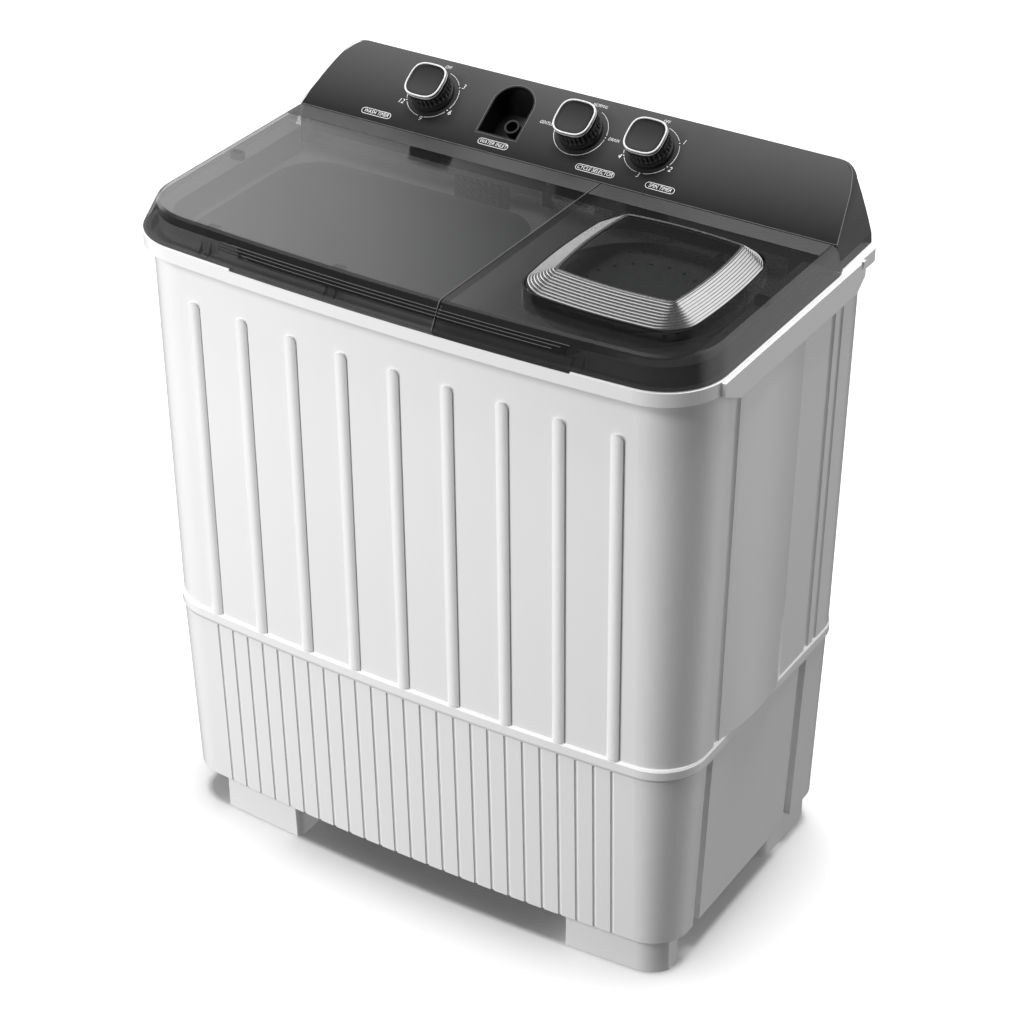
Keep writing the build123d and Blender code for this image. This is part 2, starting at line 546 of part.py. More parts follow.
def make_spin_drive():
    motor = disc(SPIN_AXIS, 56, 108, 206) + disc(SPIN_AXIS, 46, 104, 212)
    motor += ring(SPIN_AXIS, 70, 40, 100, 104)
    motor += disc(SPIN_AXIS, SHAFT_RADIUS, 212, 218)
    for i in range(14):
        turn = 2 * pi * i / 14
        motor -= disc((SPIN_AXIS[0] + 56 * cos(turn), SPIN_AXIS[1] + 56 * sin(turn)), 3.5, 116, 198)
    save("spin_motor", motor)

    mounts = []
    foot_z = BASE_BOTTOM + 2 * WALL
    for i in range(3):
        turn = radians(90 + 120 * i)
        spot = (SPIN_AXIS[0] + 56 * cos(turn), SPIN_AXIS[1] + 56 * sin(turn))
        mount = disc(spot, 9, foot_z, 100)
        for ridge in range(4):
            z = foot_z + 2 + ridge * 11
            mount += disc(spot, 13, z, z + 6)
        mounts.append(mount)
    save("spin_motor_mounts", Compound(children=mounts))

    arm = rounded(256, 268, -125, -33, 5, 247, 258) + block(254, 257, -64, -36, 245, 260)
    arm -= disc(BRAKE_PIVOT, 4 + RUNNING, 240, 262)
    save("brake_lever", arm)

    cans = [disc((110, 130), 22, foot_z, 140), disc((160, 130), 20, foot_z, 125)]
    save("motor_capacitors", Compound(children=cans))


# ---------------------------------------------------------------- water
def make_water_path():
    port, chamber_floor = 262.0, 296.0
    body = disc(DRAIN_AXIS, 22, port, TUB_FLOOR - WALL)
    body -= disc(DRAIN_AXIS, 18, chamber_floor, TUB_FLOOR)
    body -= disc(DRAIN_AXIS, 10, port - 1, chamber_floor + 1)
    save("drain_valve_body", body)
    plug = disc(DRAIN_AXIS, 10 - RUNNING, 284.5, 299) + disc(DRAIN_AXIS, 4, 299, 320)
    save("drain_valve_plug", plug)

    x, y = DRAIN_AXIS
    level, low, radius, bore = 120.0, DRAIN_OUTLET_Z, 12.0, 9.5
    branch_x = SPIN_AXIS[0]
    solid = disc(DRAIN_AXIS, radius, low, port) + rod_x(x, branch_x, y, level, radius)
    solid += disc((branch_x, y), radius, level, CASING_FLOOR - WALL) + rod_y(x, y, 176, low, radius)
    for spot in ((x, low), (branch_x, level)):
        solid += Pos(spot[0], y, spot[1]) * Sphere(radius)
    hollow = disc(DRAIN_AXIS, bore, low, port + 1) + rod_x(x, branch_x, y, level, bore)
    hollow += disc((branch_x, y), bore, level, CASING_FLOOR) + rod_y(x, y, 177, low, bore)
    for spot in ((x, low), (branch_x, level)):
        hollow += Pos(spot[0], y, spot[1]) * Sphere(bore)
    save("drain_pipe", solid - hollow)

    outlet = rod_y(x, 176, REAR_Y, low, 13) + rod_y(x, 190, BODY_REAR_Y - 2 * WALL, low, 24)
    outlet -= rod_y(x, 175, REAR_Y + 1, low, bore)
    save("drain_outlet", outlet)

    over_x, over_y = -300.0, 95.0
    pipe = disc((over_x, over_y), 9, 200, 690)
    pipe -= disc((over_x, over_y), 7, 199, 688)
    save("overflow_pipe", pipe)


# ---------------------------------------------------------------- control panel
FACE = Plane(origin=(0, PANEL_FOOT_Y, LID_TOP), x_dir=(1, 0, 0),
             z_dir=(0, -sin(radians(FACE_SLOPE)), cos(radians(FACE_SLOPE))))


def on_face(x, up, out=0.0):
    """Place on the sloping face: along it, up it and out from it."""
    return FACE * Pos(x, up, out)


def panel_outline(shape, shrink, y):
    """Front view of the panel at depth y, from its right side's foot, flank and shoulder points."""
    right = [(x - shrink, z - (shrink if z > FLANK_TOP else 0)) for x, z in shape]
    foot, flank_low, flank, shoulder_low, shoulder, top = right
    foot = (foot[0], foot[1] - (1 if shrink else 0))
    edge = Line((-foot[0], foot[1]), foot) + Line(foot, flank_low)
    edge += ThreePointArc(flank_low, flank, shoulder_low)
    edge += ThreePointArc(shoulder_low, shoulder, top)
    edge += Line(top, (-top[0], top[1]))
    left = [(-x, z) for x, z in (top, shoulder, shoulder_low, flank, flank_low, foot)]
    edge += ThreePointArc(*left[:3])
    edge += ThreePointArc(*left[2:5])
    edge += Line(left[4], left[5])
    return Pos(0, y, 0) * (Plane.XZ * make_face(edge))


def panel_form(shrink):
    """Panel wedge: its front view, drawn in towards the rear, cut to its side view."""
    bottom = PANEL_BOTTOM - (1 if shrink else 0)
    front_face = panel_outline(PANEL_FRONT_SHAPE, shrink, PANEL_FOOT_Y - 1)
    rear_face = panel_outline(PANEL_REAR_SHAPE, shrink, REAR_Y + 1)
    top_y = PANEL_FOOT_Y + (PANEL_TOP - LID_TOP) / sin(radians(FACE_SLOPE)) * cos(radians(FACE_SLOPE))
    side = Polyline((PANEL_FOOT_Y, LID_TOP), (top_y, PANEL_TOP), (REAR_Y, PANEL_TOP - 3),
                    (REAR_Y, bottom), (SHELF_FRONT_Y, bottom), (SHELF_FRONT_Y, 784.5), close=True)
    side_face = make_face(side)
    if shrink:
        side_face = offset(side_face, -shrink, kind=Kind.INTERSECTION)
    wedge = loft([front_face, rear_face], ruled=True)
    return wedge & extrude(Pos(-400, 0, 0) * (Plane.YZ * side_face), 800, dir=(1, 0, 0))


def arch(grow, depth, out=0.0):
    """Arched prism through the face, with its head rounded and its foot flat."""
    radius = ARCH_RADIUS + grow
    outline = Polyline((-radius, ARCH_SPRING), (-radius, ARCH_BOTTOM - grow),
                       (radius, ARCH_BOTTOM - grow), (radius, ARCH_SPRING))
    outline += ThreePointArc((radius, ARCH_SPRING), (0, ARCH_SPRING + radius), (-radius, ARCH_SPRING))
    return extrude(on_face(ARCH_X, 0, out) * make_face(outline), -depth - out)


def make_panel():
    panel = panel_form(0)
    inner = panel_form(PANEL_WALL)
    inner += extrude(inner.faces().sort_by(Axis.Z)[0], 6, dir=(0, 0, -1))
    panel -= inner
    panel -= arch(0, 12, 2)
    for name, x in KNOB_X.items():
        panel -= on_face(x, KNOB_UP[name]) * Cylinder(5.5, 20)
    for opening in comb_blocks(SHELF_FRONT_Y - 1, SHELF_FRONT_Y + PANEL_WALL + 1):
        panel -= opening
    door = (-300, 300, REAR_Y - 2 * PANEL_WALL, REAR_Y + 1, 766, 822)
    panel -= block(*door)
    save("control_panel", panel)
    cover = block(-300, 300, REAR_Y - PANEL_WALL, REAR_Y, 766, 822)
    for i in range(7):
        for side in (-1, 1):
            x = side * (150 + 12 * i)
            cover -= rounded(x - 2, x + 2, REAR_Y - 5, REAR_Y + 5, 1.9, 780, 808)
    save("panel_back_cover", cover)

    recess_depth = 34
    back_y = REAR_Y - PANEL_WALL - 3.5
    cup = arch(0, recess_depth) & block(-400, 400, 0, back_y, 700, 900)
    cup -= arch(-2, recess_depth - 2, 2) & block(-400, 400, 0, back_y - 2, 700, 900)
    spigot_x, spigot_up = ARCH_X + 8, 42.0
    cup -= on_face(spigot_x, spigot_up, -recess_depth) * Cylinder(9, 20)
    save("inlet_recess", cup)
    spigot = on_face(spigot_x, spigot_up, -recess_depth / 2 - 3) * Cylinder(9, 26)
    spigot += on_face(spigot_x, spigot_up, -recess_depth + 4) * Cylinder(12, 4)
    spigot -= on_face(spigot_x, spigot_up, -recess_depth / 2) * Cylinder(6.5, 60)
    save("inlet_spigot", spigot)

    for name, x in KNOB_X.items():
        up, shaft = KNOB_UP[name], 3.0 + RUNNING
        depth = 26
        body = on_face(x, up, -PANEL_WALL - depth / 2) * Cylinder(19, depth)
        body += on_face(x, up, -PANEL_WALL / 2) * Cylinder(5.5, PANEL_WALL)
        body += on_face(x, up, -PANEL_WALL - 5) * Box(44, 14, 4)
        body -= on_face(x, up, -PANEL_WALL) * Cylinder(shaft, 30)
        save("cycle_switch" if name == "cycle" else name, body)
    save("lid_switch", block(282, 304, 132, 145, PANEL_BOTTOM, 775))


def make_knobs():
    """Round fluted skirt with a shaft, a rounded-square cap and a bright ring round the cap."""
    flutes = 26
    for name, x in KNOB_X.items():
        up, foot = KNOB_UP[name], 0.8
        skirt = Pos(0, 0, (foot + KNOB_SKIRT_HEIGHT) / 2) * Cylinder(KNOB_RADIUS, KNOB_SKIRT_HEIGHT - foot)
        for i in range(flutes):
            turn = 2 * pi * i / flutes
            radius = KNOB_RADIUS + 0.8
            skirt -= Pos(radius * cos(turn), radius * sin(turn), 10.4) * Cylinder(1.9, KNOB_SKIRT_HEIGHT)
        skirt += Pos(0, 0, -7) * Cylinder(3.0, 15.6)
        save(name + "_knob", on_face(x, up) * skirt)
        square = RectangleRounded(43.0, 43.0, 14)
        cap = extrude(Pos(0, 0, KNOB_SKIRT_HEIGHT) * square, KNOB_HEIGHT - KNOB_SKIRT_HEIGHT)
        cap = fillet(cap.faces().sort_by(Axis.Z)[-1].edges(), 1.2)
        save(name + "_knob_cap", on_face(x, up) * cap)
        band = RectangleRounded(47.0, 47.0, 16) - square
        trim = extrude(Pos(0, 0, KNOB_SKIRT_HEIGHT + 2) * band, KNOB_HEIGHT - KNOB_SKIRT_HEIGHT - 2.6)
        save(name + "_knob_ring", on_face(x, up) * trim)


# ---------------------------------------------------------------- lids
def lid_form(shrink):
    """Both lids as one cover before they are parted, or the space under it."""
    low = Level(LID_SIDE_X, LID_FRONT_Y, 300, LID_CORNER, 2)
    high = Level(LID_TOP_SIDE_X, LID_TOP_FRONT_Y, 300, LID_CORNER - 3, 2)
    crown = Level(LID_TOP_SIDE_X - LID_SHOULDER, LID_TOP_FRONT_Y + LID_SHOULDER, 300,
                  LID_CORNER - 8, 2)
    turn = LID_TOP - LID_SHOULDER
    top = LID_TOP - shrink
    levels = [(inset(low, shrink), LID_BOTTOM - (1 if shrink else 0)), (inset(high, shrink), turn - shrink)]
    levels.append((inset(between(high, crown, 0.35), shrink), top - LID_SHOULDER * 0.3))
    levels.append((inset(crown, shrink), top))
    return stack(*levels)


def lid_shell(x0, x1):
    """One lid: top, skirts on its outer sides, and a shallow flange along the split."""
    span = block(x0, x1, -300, LID_REAR_Y, 700, 900)
    shell = (lid_form(0) - lid_form(LID_WALL)) & span
    split_x = x1 if abs(x1) < abs(x0) else x0
    inward = -1.6 if split_x == x1 else 1.6
    flange = block(min(split_x, split_x + inward), max(split_x, split_x + inward),
                   -188, HINGE_Y - 8, LID_TOP - LID_WALL - 5, LID_TOP - LID_WALL)
    shell += flange
    swing = block(-400, 400, HINGE_Y, 200, 700, HINGE_Z) - rod_x(-400, 400, HINGE_Y, HINGE_Z, 19.6)
    return shell - swing


def knuckles(ears):
    """Bored knuckles that hang the lid on its pins, each with a web up to the lid's top."""
    shapes = []
    for x in ears:
        x0, x1 = x + EAR_WIDTH / 2 + GAP, x + EAR_WIDTH / 2 + KNUCKLE_LENGTH
        knuckle = rod_x(x0, x1, HINGE_Y, HINGE_Z, KNUCKLE_RADIUS)
        knuckle += block(x0, x1, LEG_FRONT_Y, HINGE_Y + 2, HINGE_Z, LID_TOP - LID_WALL)
        knuckle += block(x0, x1, LEG_FRONT_Y, HINGE_Y, HINGE_Z - 20, HINGE_Z)
        shapes.append(knuckle - rod_x(x0 - 1, x1 + 1, HINGE_Y, HINGE_Z, PIN_RADIUS + RUNNING))
    return shapes


def grip_ridges(x0, x1):
    """Three thin ridges along the front skirt, for the fingers."""
    ridges = []
    for z in RIDGE_LEVELS:
        share = (z - LID_BOTTOM) / (LID_TOP - LID_SHOULDER - LID_BOTTOM)
        front = LID_FRONT_Y + (LID_TOP_FRONT_Y - LID_FRONT_Y) * share
        level = Level(LID_SIDE_X, front - 1.1, 300, LID_CORNER, 2)
        bar = stack((level, z), (level, z + 1.5))
        bar -= stack((inset(level, 2.0), z - 1), (inset(level, 2.0), z + 3))
        ridges.append(bar & block(x0, x1, -230, -150, 700, 900))
    return ridges


def grip_lip(x0, x1):
    """The skirt's lower edge, carried on down in front of the deck's rim."""
    low = Level(LID_SIDE_X, LID_FRONT_Y, 300, LID_CORNER, 2)
    lip = stack((low, GRIP_BOTTOM), (low, LID_BOTTOM + 1))
    lip -= stack((inset(low, LID_WALL), GRIP_BOTTOM - 1), (inset(low, LID_WALL), LID_BOTTOM + 2))
    return lip & block(x0, x1, -230, -150, 700, 900)


def skirt_ribs(spots):
    """Pairs of thin upright ribs behind the front skirt, one pair in front of each bumper."""
    ribs = []
    for x in spots:
        rear_y = BORDER_OUTSIDE.front_y + bow_at(x, RIM) - 1
        for side in (-6, 6):
            rib = block(x + side - 0.5, x + side + 0.5, -230, rear_y, LID_BOTTOM + 1, LID_TOP - 5)
            ribs.append(rib & lid_form(LID_WALL - 0.3))
    return ribs


def bumpers(spots):
    """Soft stops between the lid's underside and the deck's raised border."""
    return Compound(children=[block(x - 7, x + 7, y - 4, y + 4, foot + GAP, LID_TOP - LID_WALL)
                              for x, y, foot in spots])


def squircle(x0, x1, y0, y1, bow, corner, z):
    """Rectangle with bowed sides and rounded corners."""
    cx, cy = (x0 + x1) / 2, (y0 + y1) / 2
    a, b, c, d = (x0 + bow, y0 + bow), (x1 - bow, y0 + bow), (x1 - bow, y1 - bow), (x0 + bow, y1 - bow)
    outline = ThreePointArc(a, (cx, y0), b) + ThreePointArc(b, (x1, cy), c)
    outline += ThreePointArc(c, (cx, y1), d) + ThreePointArc(d, (x0, cy), a)
    face = make_face(outline)
    return Pos(0, 0, z) * fillet(face.vertices(), corner)


def make_lids():
    wash = lid_shell(-400, LID_SPLIT_X - GAP)
    wash += grip_ridges(RIDGES_X[0], LID_SPLIT_X - GAP)
    wash += grip_lip(GRIP_X[0], LID_SPLIT_X - GAP)
    wash += skirt_ribs((-235, -71))
    wash += knuckles(WASH_EARS)
    save("wash_lid", wash)
    save("wash_lid_bumpers", bumpers(((-235, -175, BORDER_TOP), (-324, -14, BORDER_TOP),
                                      (-71, -181, BORDER_LOW))))

    x0, x1, y0, y1 = TURRET
    bow, corner = 7, 32
    spin = lid_shell(LID_SPLIT_X + GAP, 400)
    spin += grip_ridges(LID_SPLIT_X + GAP, RIDGES_X[1])
    spin += grip_lip(LID_SPLIT_X + GAP, GRIP_X[1])
    spin += skirt_ribs((218,))
    spin += knuckles(SPIN_EARS)
    wall = extrude(squircle(x0, x1, y0, y1, bow, corner, LID_TOP), TURRET_LEDGE - LID_TOP)
    hole = extrude(squircle(x0 + 2, x1 - 2, y0 + 2, y1 - 2, bow, corner - 2, LID_TOP - 10), 40)
    spin = spin + wall - hole
    save("spin_lid", spin)
    save("spin_lid_bumpers", bumpers(((218, -175, BORDER_TOP), (324, -12, BORDER_TOP))))

    px0, px1, py0, py1 = PANE
    pane_bow, pane_corner, land = 5, 5, 3
    edge = (px0 + land, px1 - land, py0 + land, py1 - land, pane_bow, pane_corner - 2)
    outer = loft([squircle(x0 + 1, x1 - 1, y0 + 1, y1 - 1, bow, corner - 1, TURRET_LEDGE),
                  squircle(px0, px1, py0, py1, pane_bow, pane_corner, TURRET_TOP)], ruled=True)
    inner = loft([squircle(x0 + 7, x1 - 7, y0 + 7, y1 - 7, bow, corner - 5, TURRET_LEDGE - 0.01),
                  squircle(*edge, TURRET_TOP - 2.6)], ruled=True)
    frame = outer - inner
    frame -= extrude(squircle(*edge, TURRET_TOP - 4), 10)
    save("window_frame", frame)
    save("window_pane", extrude(squircle(*edge, TURRET_TOP - 3), 2.2))


# ---------------------------------------------------------------- service pieces
def make_service():
    save("rear_service_cover", rounded(-228, 258, 0, 200, 8, 0, 2).rotate(Axis.X, 90)
         .translate((0, BODY_REAR_Y + 2.2, 74)))
    screws = []
    for x in (-216, 15, 246):
        for z in (86, 262):
            screws.append(rod_y(x, BODY_REAR_Y + 2.2, BODY_REAR_Y + 4.4, z, 4))
    save("service_screws", Compound(children=screws))

    route = [(57, 170, 766), (57, 170, 640), (70, 120, 420), (62, 60, 270), (20, -2, 240)]
    path = FilletPolyline(*route, radius=(45, 120, 60))
    section = Plane(origin=path @ 0, z_dir=path % 0) * Circle(4)
    save("wiring_harness", sweep(section, path=path))


def write_parts():
    os.makedirs("parts", exist_ok=True)
    for name, shape in parts.items():
        export_step(shape, "parts/" + name + ".step")


make_base()
make_feet()
make_cabinet()
make_deck()
make_deck_grilles()
make_wash_tub()
make_spin_casing()
make_basket()
make_spin_cover()
make_wash_drive()
make_pulsator()
make_spin_drive()
make_water_path()
make_panel()
make_knobs()
make_lids()
make_service()
write_parts()
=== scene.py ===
"""Looks of the twin tub washer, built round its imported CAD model. Metres, +Z up, front towards -Y."""

from math import cos, pi, radians, sin

import bpy
from mathutils import Matrix, Vector


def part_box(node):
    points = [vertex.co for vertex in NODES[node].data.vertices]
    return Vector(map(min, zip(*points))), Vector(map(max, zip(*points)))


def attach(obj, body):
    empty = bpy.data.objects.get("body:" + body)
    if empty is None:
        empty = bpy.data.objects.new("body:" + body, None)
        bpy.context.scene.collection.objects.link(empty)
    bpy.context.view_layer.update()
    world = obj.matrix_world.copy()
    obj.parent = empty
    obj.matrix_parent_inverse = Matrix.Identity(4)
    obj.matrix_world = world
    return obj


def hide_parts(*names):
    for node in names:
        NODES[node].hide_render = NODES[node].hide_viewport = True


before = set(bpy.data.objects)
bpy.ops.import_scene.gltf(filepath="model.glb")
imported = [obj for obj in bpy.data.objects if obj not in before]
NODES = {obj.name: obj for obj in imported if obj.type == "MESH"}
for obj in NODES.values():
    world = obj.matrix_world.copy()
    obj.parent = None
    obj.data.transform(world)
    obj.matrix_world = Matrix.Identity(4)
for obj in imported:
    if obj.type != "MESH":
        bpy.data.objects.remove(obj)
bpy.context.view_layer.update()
MM = 0.001

LID_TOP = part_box("wash_lid")[1][2] / MM
PANEL_FOOT_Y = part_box("control_panel")[0][1] / MM
PANEL_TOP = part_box("control_panel")[1][2] / MM
SLOPE = radians(34)
CAP_LOW, CAP_HIGH = (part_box("cycle_knob_cap")[i][2] / MM for i in (0, 1))
# Each knob: place along the panel, place up its slope, body. Millimetres.
KNOBS = {
    "wash_timer": (-186.1, 53.2, "wash_knob"),
    "cycle": (5.5, 54.2, "cycle_knob"),
    "spin_timer": (93.8, 54.0, "spin_knob"),
}
# Control panel's face: x along it, y up the slope, z out of it, in millimetres.
PANEL_FOOT = Matrix.Translation((0, PANEL_FOOT_Y * MM, LID_TOP * MM))
FACE = PANEL_FOOT @ Matrix.Rotation(SLOPE, 4, "X") @ Matrix.Scale(MM, 4)
# Plain machine millimetres.
MACHINE = Matrix.Scale(MM, 4)

CAMERA_PLACE = (1.424965, -2.248298, 2.096307)
CAMERA_AIM = (-0.44769, 0.71776, -0.53328)
CAMERA_LENS = 98.73

STUDIO_BASE = 0.12
# Bright patches of the surround: direction, inner and outer half angle in degrees, strength.
STUDIO_PATCHES = (
    ((-0.95, 0.75, 0.62), 9, 19.5, 2.1),
    ((0.16, 0.72, 0.67), 6, 24, 1.3),
    ((-0.40, -0.16, 0.90), 4, 34, 1.25),
    ((1.0, 0.75, 0.05), 10, 50, 1.35),
)

PRINT_LIFT = 0.12        # printed marks stand this far off the panel
DIAL_RADIUS = 31.0
PRINT_WIDTH = 0.55
TIMER_GAPS = ((54, 66), (114, 126), (173, 187), (236, 246))
# Printed dials: start and end of the ring, its gaps, its dots (all degrees), and the words round it with
# their angle, distance from the middle and height.
DIALS = {
    "wash_timer": (13, 254, TIMER_GAPS, (60, 120, 241),
                   (("OFF", 1, 37.0, 4.0), ("3", 60, 36.0, 6.0), ("6", 120, 35.5, 6.0),
                    ("9", 180, 33.8, 6.0), ("12", 241, 38.0, 6.0))),
    "cycle": (23, 345, ((86, 96),), (91,),
              (("GENTLE", -91, 44.0, 3.8), ("DRAIN", 91, 41.5, 3.8), ("NORMAL", 11, 36.5, 3.8))),
    "spin_timer": (13, 254, TIMER_GAPS, (60, 120, 241),
                   (("OFF", 1, 37.0, 4.0), ("1", 60, 36.0, 6.0), ("2", 120, 35.5, 6.0),
                    ("3", 182, 33.8, 6.0), ("4", 241, 36.0, 6.0))),
}
# Framed words under the dials, with the ends of their frames.
CAPSULES = (("WASH TIMER", -260, -221), ("WATER INLET", -105, -66.5),
            ("CYCLE SELECTOR", 20, 68), ("SPIN TIMER", 106.5, 142))


# ---------------------------------------------------------------- camera and studio
def make_camera():
    data = bpy.data.cameras.new("camera")
    data.lens = CAMERA_LENS
    data.sensor_width = 36.0
    camera = bpy.data.objects.new("camera", data)
    bpy.context.scene.collection.objects.link(camera)
    camera.location = CAMERA_PLACE
    camera.rotation_euler = Vector(CAMERA_AIM).to_track_quat("-Z", "Y").to_euler()
    bpy.context.scene.camera = camera


def area_light(name, place, aim, size, power):
    data = bpy.data.lights.new(name, "AREA")
    data.shape = "RECTANGLE"
    data.size, data.size_y = size
    data.energy = power
    lamp = bpy.data.objects.new(name, data)
    lamp.location = place
    lamp.rotation_euler = (Vector(aim) - Vector(place)).to_track_quat("-Z", "Y").to_euler()
    lamp.visible_glossy = False
    bpy.context.scene.collection.objects.link(lamp)
    return lamp


def overhead_light(strength, spread):
    data = bpy.data.lights.new("overhead", "SUN")
    data.energy = strength
    data.angle = radians(spread)
    lamp = bpy.data.objects.new("overhead", data)
    lamp.visible_glossy = False
    bpy.context.scene.collection.objects.link(lamp)


def make_world():
    """Even grey surround with soft bright patches where a studio has its diffusers."""
    world = bpy.data.worlds.new("studio")
    world.use_nodes = True
    nodes, links = world.node_tree.nodes, world.node_tree.links
    nodes.clear()
    direction = nodes.new("ShaderNodeTexCoord").outputs["Generated"]
    total = None
    for toward, inner, outer, strength in STUDIO_PATCHES:
        facing = nodes.new("ShaderNodeVectorMath")
        facing.operation = "DOT_PRODUCT"
        links.new(direction, facing.inputs[0])
        facing.inputs[1].default_value = Vector(toward).normalized()
        ramp = nodes.new("ShaderNodeMapRange")
        ramp.interpolation_type = "SMOOTHSTEP"
        ramp.inputs["From Min"].default_value = cos(radians(outer))
        ramp.inputs["From Max"].default_value = cos(radians(inner))
        ramp.inputs["To Max"].default_value = strength
        links.new(facing.outputs["Value"], ramp.inputs["Value"])
        value = ramp.outputs["Result"]
        if total:
            join = nodes.new("ShaderNodeMath")
            links.new(total, join.inputs[0])
            links.new(value, join.inputs[1])
            value = join.outputs[0]
        total = value
    base = nodes.new("ShaderNodeMath")
    links.new(total, base.inputs[0])
    base.inputs[1].default_value = STUDIO_BASE
    background = nodes.new("ShaderNodeBackground")
    links.new(base.outputs[0], background.inputs["Strength"])
    output = nodes.new("ShaderNodeOutputWorld")
    links.new(background.outputs[0], output.inputs["Surface"])
    bpy.context.scene.world = world


def make_floor():
    """Pale paper under the machine."""
    mesh = bpy.data.meshes.new("floor")
    mesh.from_pydata([(-9, -9, 0), (9, -9, 0), (9, 9, 0), (-9, 9, 0)], [], [(0, 1, 2, 3)])
    floor = bpy.data.objects.new("floor", mesh)
    bpy.context.scene.collection.objects.link(floor)
    g = Graph("floor_paper")
    tone = g.blend(g.noise(3.0, 3), (0.90, 0.90, 0.90), (0.92, 0.92, 0.92))
    g.finish(g.principled({"Base Color": tone, "Roughness": 0.9, "Emission Color": (1, 1, 1, 1),
                           "Emission Strength": 0.01}))
    mesh.materials.append(g.material)
    floor.visible_diffuse = False
    floor.visible_glossy = False
    floor.visible_shadow = False
    return floor


def make_studio():
    make_world()
    lamps = [area_light("key", (-2.5, -2.6, 0.6), (0, 0, 0.45), (1.8, 1.0), 98),
             area_light("front_top", (-1.1, -2.3, 2.7), (0, -0.2, 0.6), (1.2, 0.8), 46)]
    overhead_light(3.7, 26)
    floor = make_floor()
    unlit = bpy.data.collections.new("not_lit_by_lamps")
    unlit.objects.link(floor)
    unlit.collection_objects[0].light_linking.link_state = "EXCLUDE"
    for lamp in lamps:
        lamp.light_linking.receiver_collection = unlit
    view = bpy.context.scene.view_settings
    view.view_transform = "Standard"
    view.look = "None"


# ---------------------------------------------------------------- materials
class Graph:
    """A material's node tree, with short calls to add nodes and join them."""

    def __init__(self, name):
        self.material = bpy.data.materials.new(name)
        self.material.use_nodes = True
        self.tree = self.material.node_tree
        self.tree.nodes.clear()
        self.place = self.add("ShaderNodeTexCoord").outputs["Object"]

    def add(self, kind, inputs=None, **settings):
        node = self.tree.nodes.new(kind)
        for key, value in settings.items():
            setattr(node, key, value)
        for key, value in (inputs or {}).items():
            socket = node.inputs[key]
            if isinstance(value, bpy.types.NodeSocket):
                self.tree.links.new(value, socket)
            elif socket.type == "RGBA" and len(value) == 3:
                socket.default_value = (*value, 1.0)
            else:
                socket.default_value = value
        return node

    def noise(self, scale, detail=2, stretch=(1, 1, 1)):
        place = self.add("ShaderNodeMapping", {"Vector": self.place, "Scale": stretch}).outputs[0]
        return self.add("ShaderNodeTexNoise", {"Vector": place, "Scale": scale, "Detail": detail}).outputs["Fac"]

    def range(self, value, low, high, start=0.0, end=1.0):
        node = self.add("ShaderNodeMapRange", {"Value": value, "From Min": start, "From Max": end,
                                               "To Min": low, "To Max": high})
        return node.outputs["Result"]

    def blend(self, factor, first, second):
        node = self.add("ShaderNodeMix", {0: factor}, data_type="RGBA")
        for socket, value in ((node.inputs[6], first), (node.inputs[7], second)):
            if isinstance(value, bpy.types.NodeSocket):
                self.tree.links.new(value, socket)
            else:
                socket.default_value = (*value, 1.0)
        return node.outputs[2]

    def along(self, axis):
        return self.add("ShaderNodeSeparateXYZ", {0: self.place}).outputs[axis]

    def bump(self, height, depth, edge=0.0):
        inputs = {"Height": height, "Distance": depth, "Strength": 1.0}
        if edge:
            inputs["Normal"] = self.add("ShaderNodeBevel", {"Radius": edge}, samples=4).outputs[0]
        return self.add("ShaderNodeBump", inputs).outputs[0]

    def principled(self, inputs):
        return self.add("ShaderNodeBsdfPrincipled", inputs).outputs[0]

    def mix(self, factor, first, second):
        return self.add("ShaderNodeMixShader", {0: factor, 1: first, 2: second}).outputs[0]

    def finish(self, shader):
        self.add("ShaderNodeOutputMaterial", {"Surface": shader})
        return self.material


def moulded(name, colour, roughness, coat=0.0, grain=0.00003, spread=0.03, edge=0.0007):
    """Injection-moulded plastic: faint flow clouding, fine orange-peel skin and softened edges."""
    g = Graph(name)
    cloud = g.noise(7.0, 4)
    tone = g.blend(cloud, tuple(c * (1 - spread) for c in colour), colour)
    peel = g.noise(650.0, 2)
    return g.finish(g.principled({
        "Base Color": tone, "Roughness": g.range(cloud, roughness * 0.8, roughness * 1.2),
        "Coat Weight": coat, "Coat Roughness": 0.06, "Normal": g.bump(peel, grain, edge)}))


def textured(name, colour, roughness, scale, depth, edge=0.0005):
    """Plastic or rubber with a visibly grained skin."""
    g = Graph(name)
    grain = g.noise(scale, 4)
    tone = g.blend(grain, tuple(c * 0.7 for c in colour), tuple(min(1, c * 1.25) for c in colour))
    return g.finish(g.principled({"Base Color": tone, "Roughness": g.range(grain, roughness * 0.85, roughness),
                                  "Normal": g.bump(grain, depth, edge)}))


def brushed(name, colour, roughness, stretch, metal=1.0):
    """Metal, or metallic paint, with fine lines drawn one way."""
    g = Graph(name)
    lines = g.noise(300.0, 3, stretch)
    tone = g.blend(lines, tuple(c * 0.8 for c in colour), colour)
    return g.finish(g.principled({"Base Color": tone, "Metallic": metal,
                                  "Roughness": g.range(lines, roughness * 0.7, roughness * 1.3),
                                  "Normal": g.bump(lines, 0.00002)}))


def facing_share(g, floor_share):
    """Mirror share of a clear film: small face on, rising towards a grazing look."""
    slant = g.add("ShaderNodeLayerWeight", {"Blend": 0.5}).outputs["Facing"]
    power = g.add("ShaderNodeMath", {0: slant, 1: 4.0}, operation="POWER").outputs[0]
    return g.range(power, floor_share, 0.75)


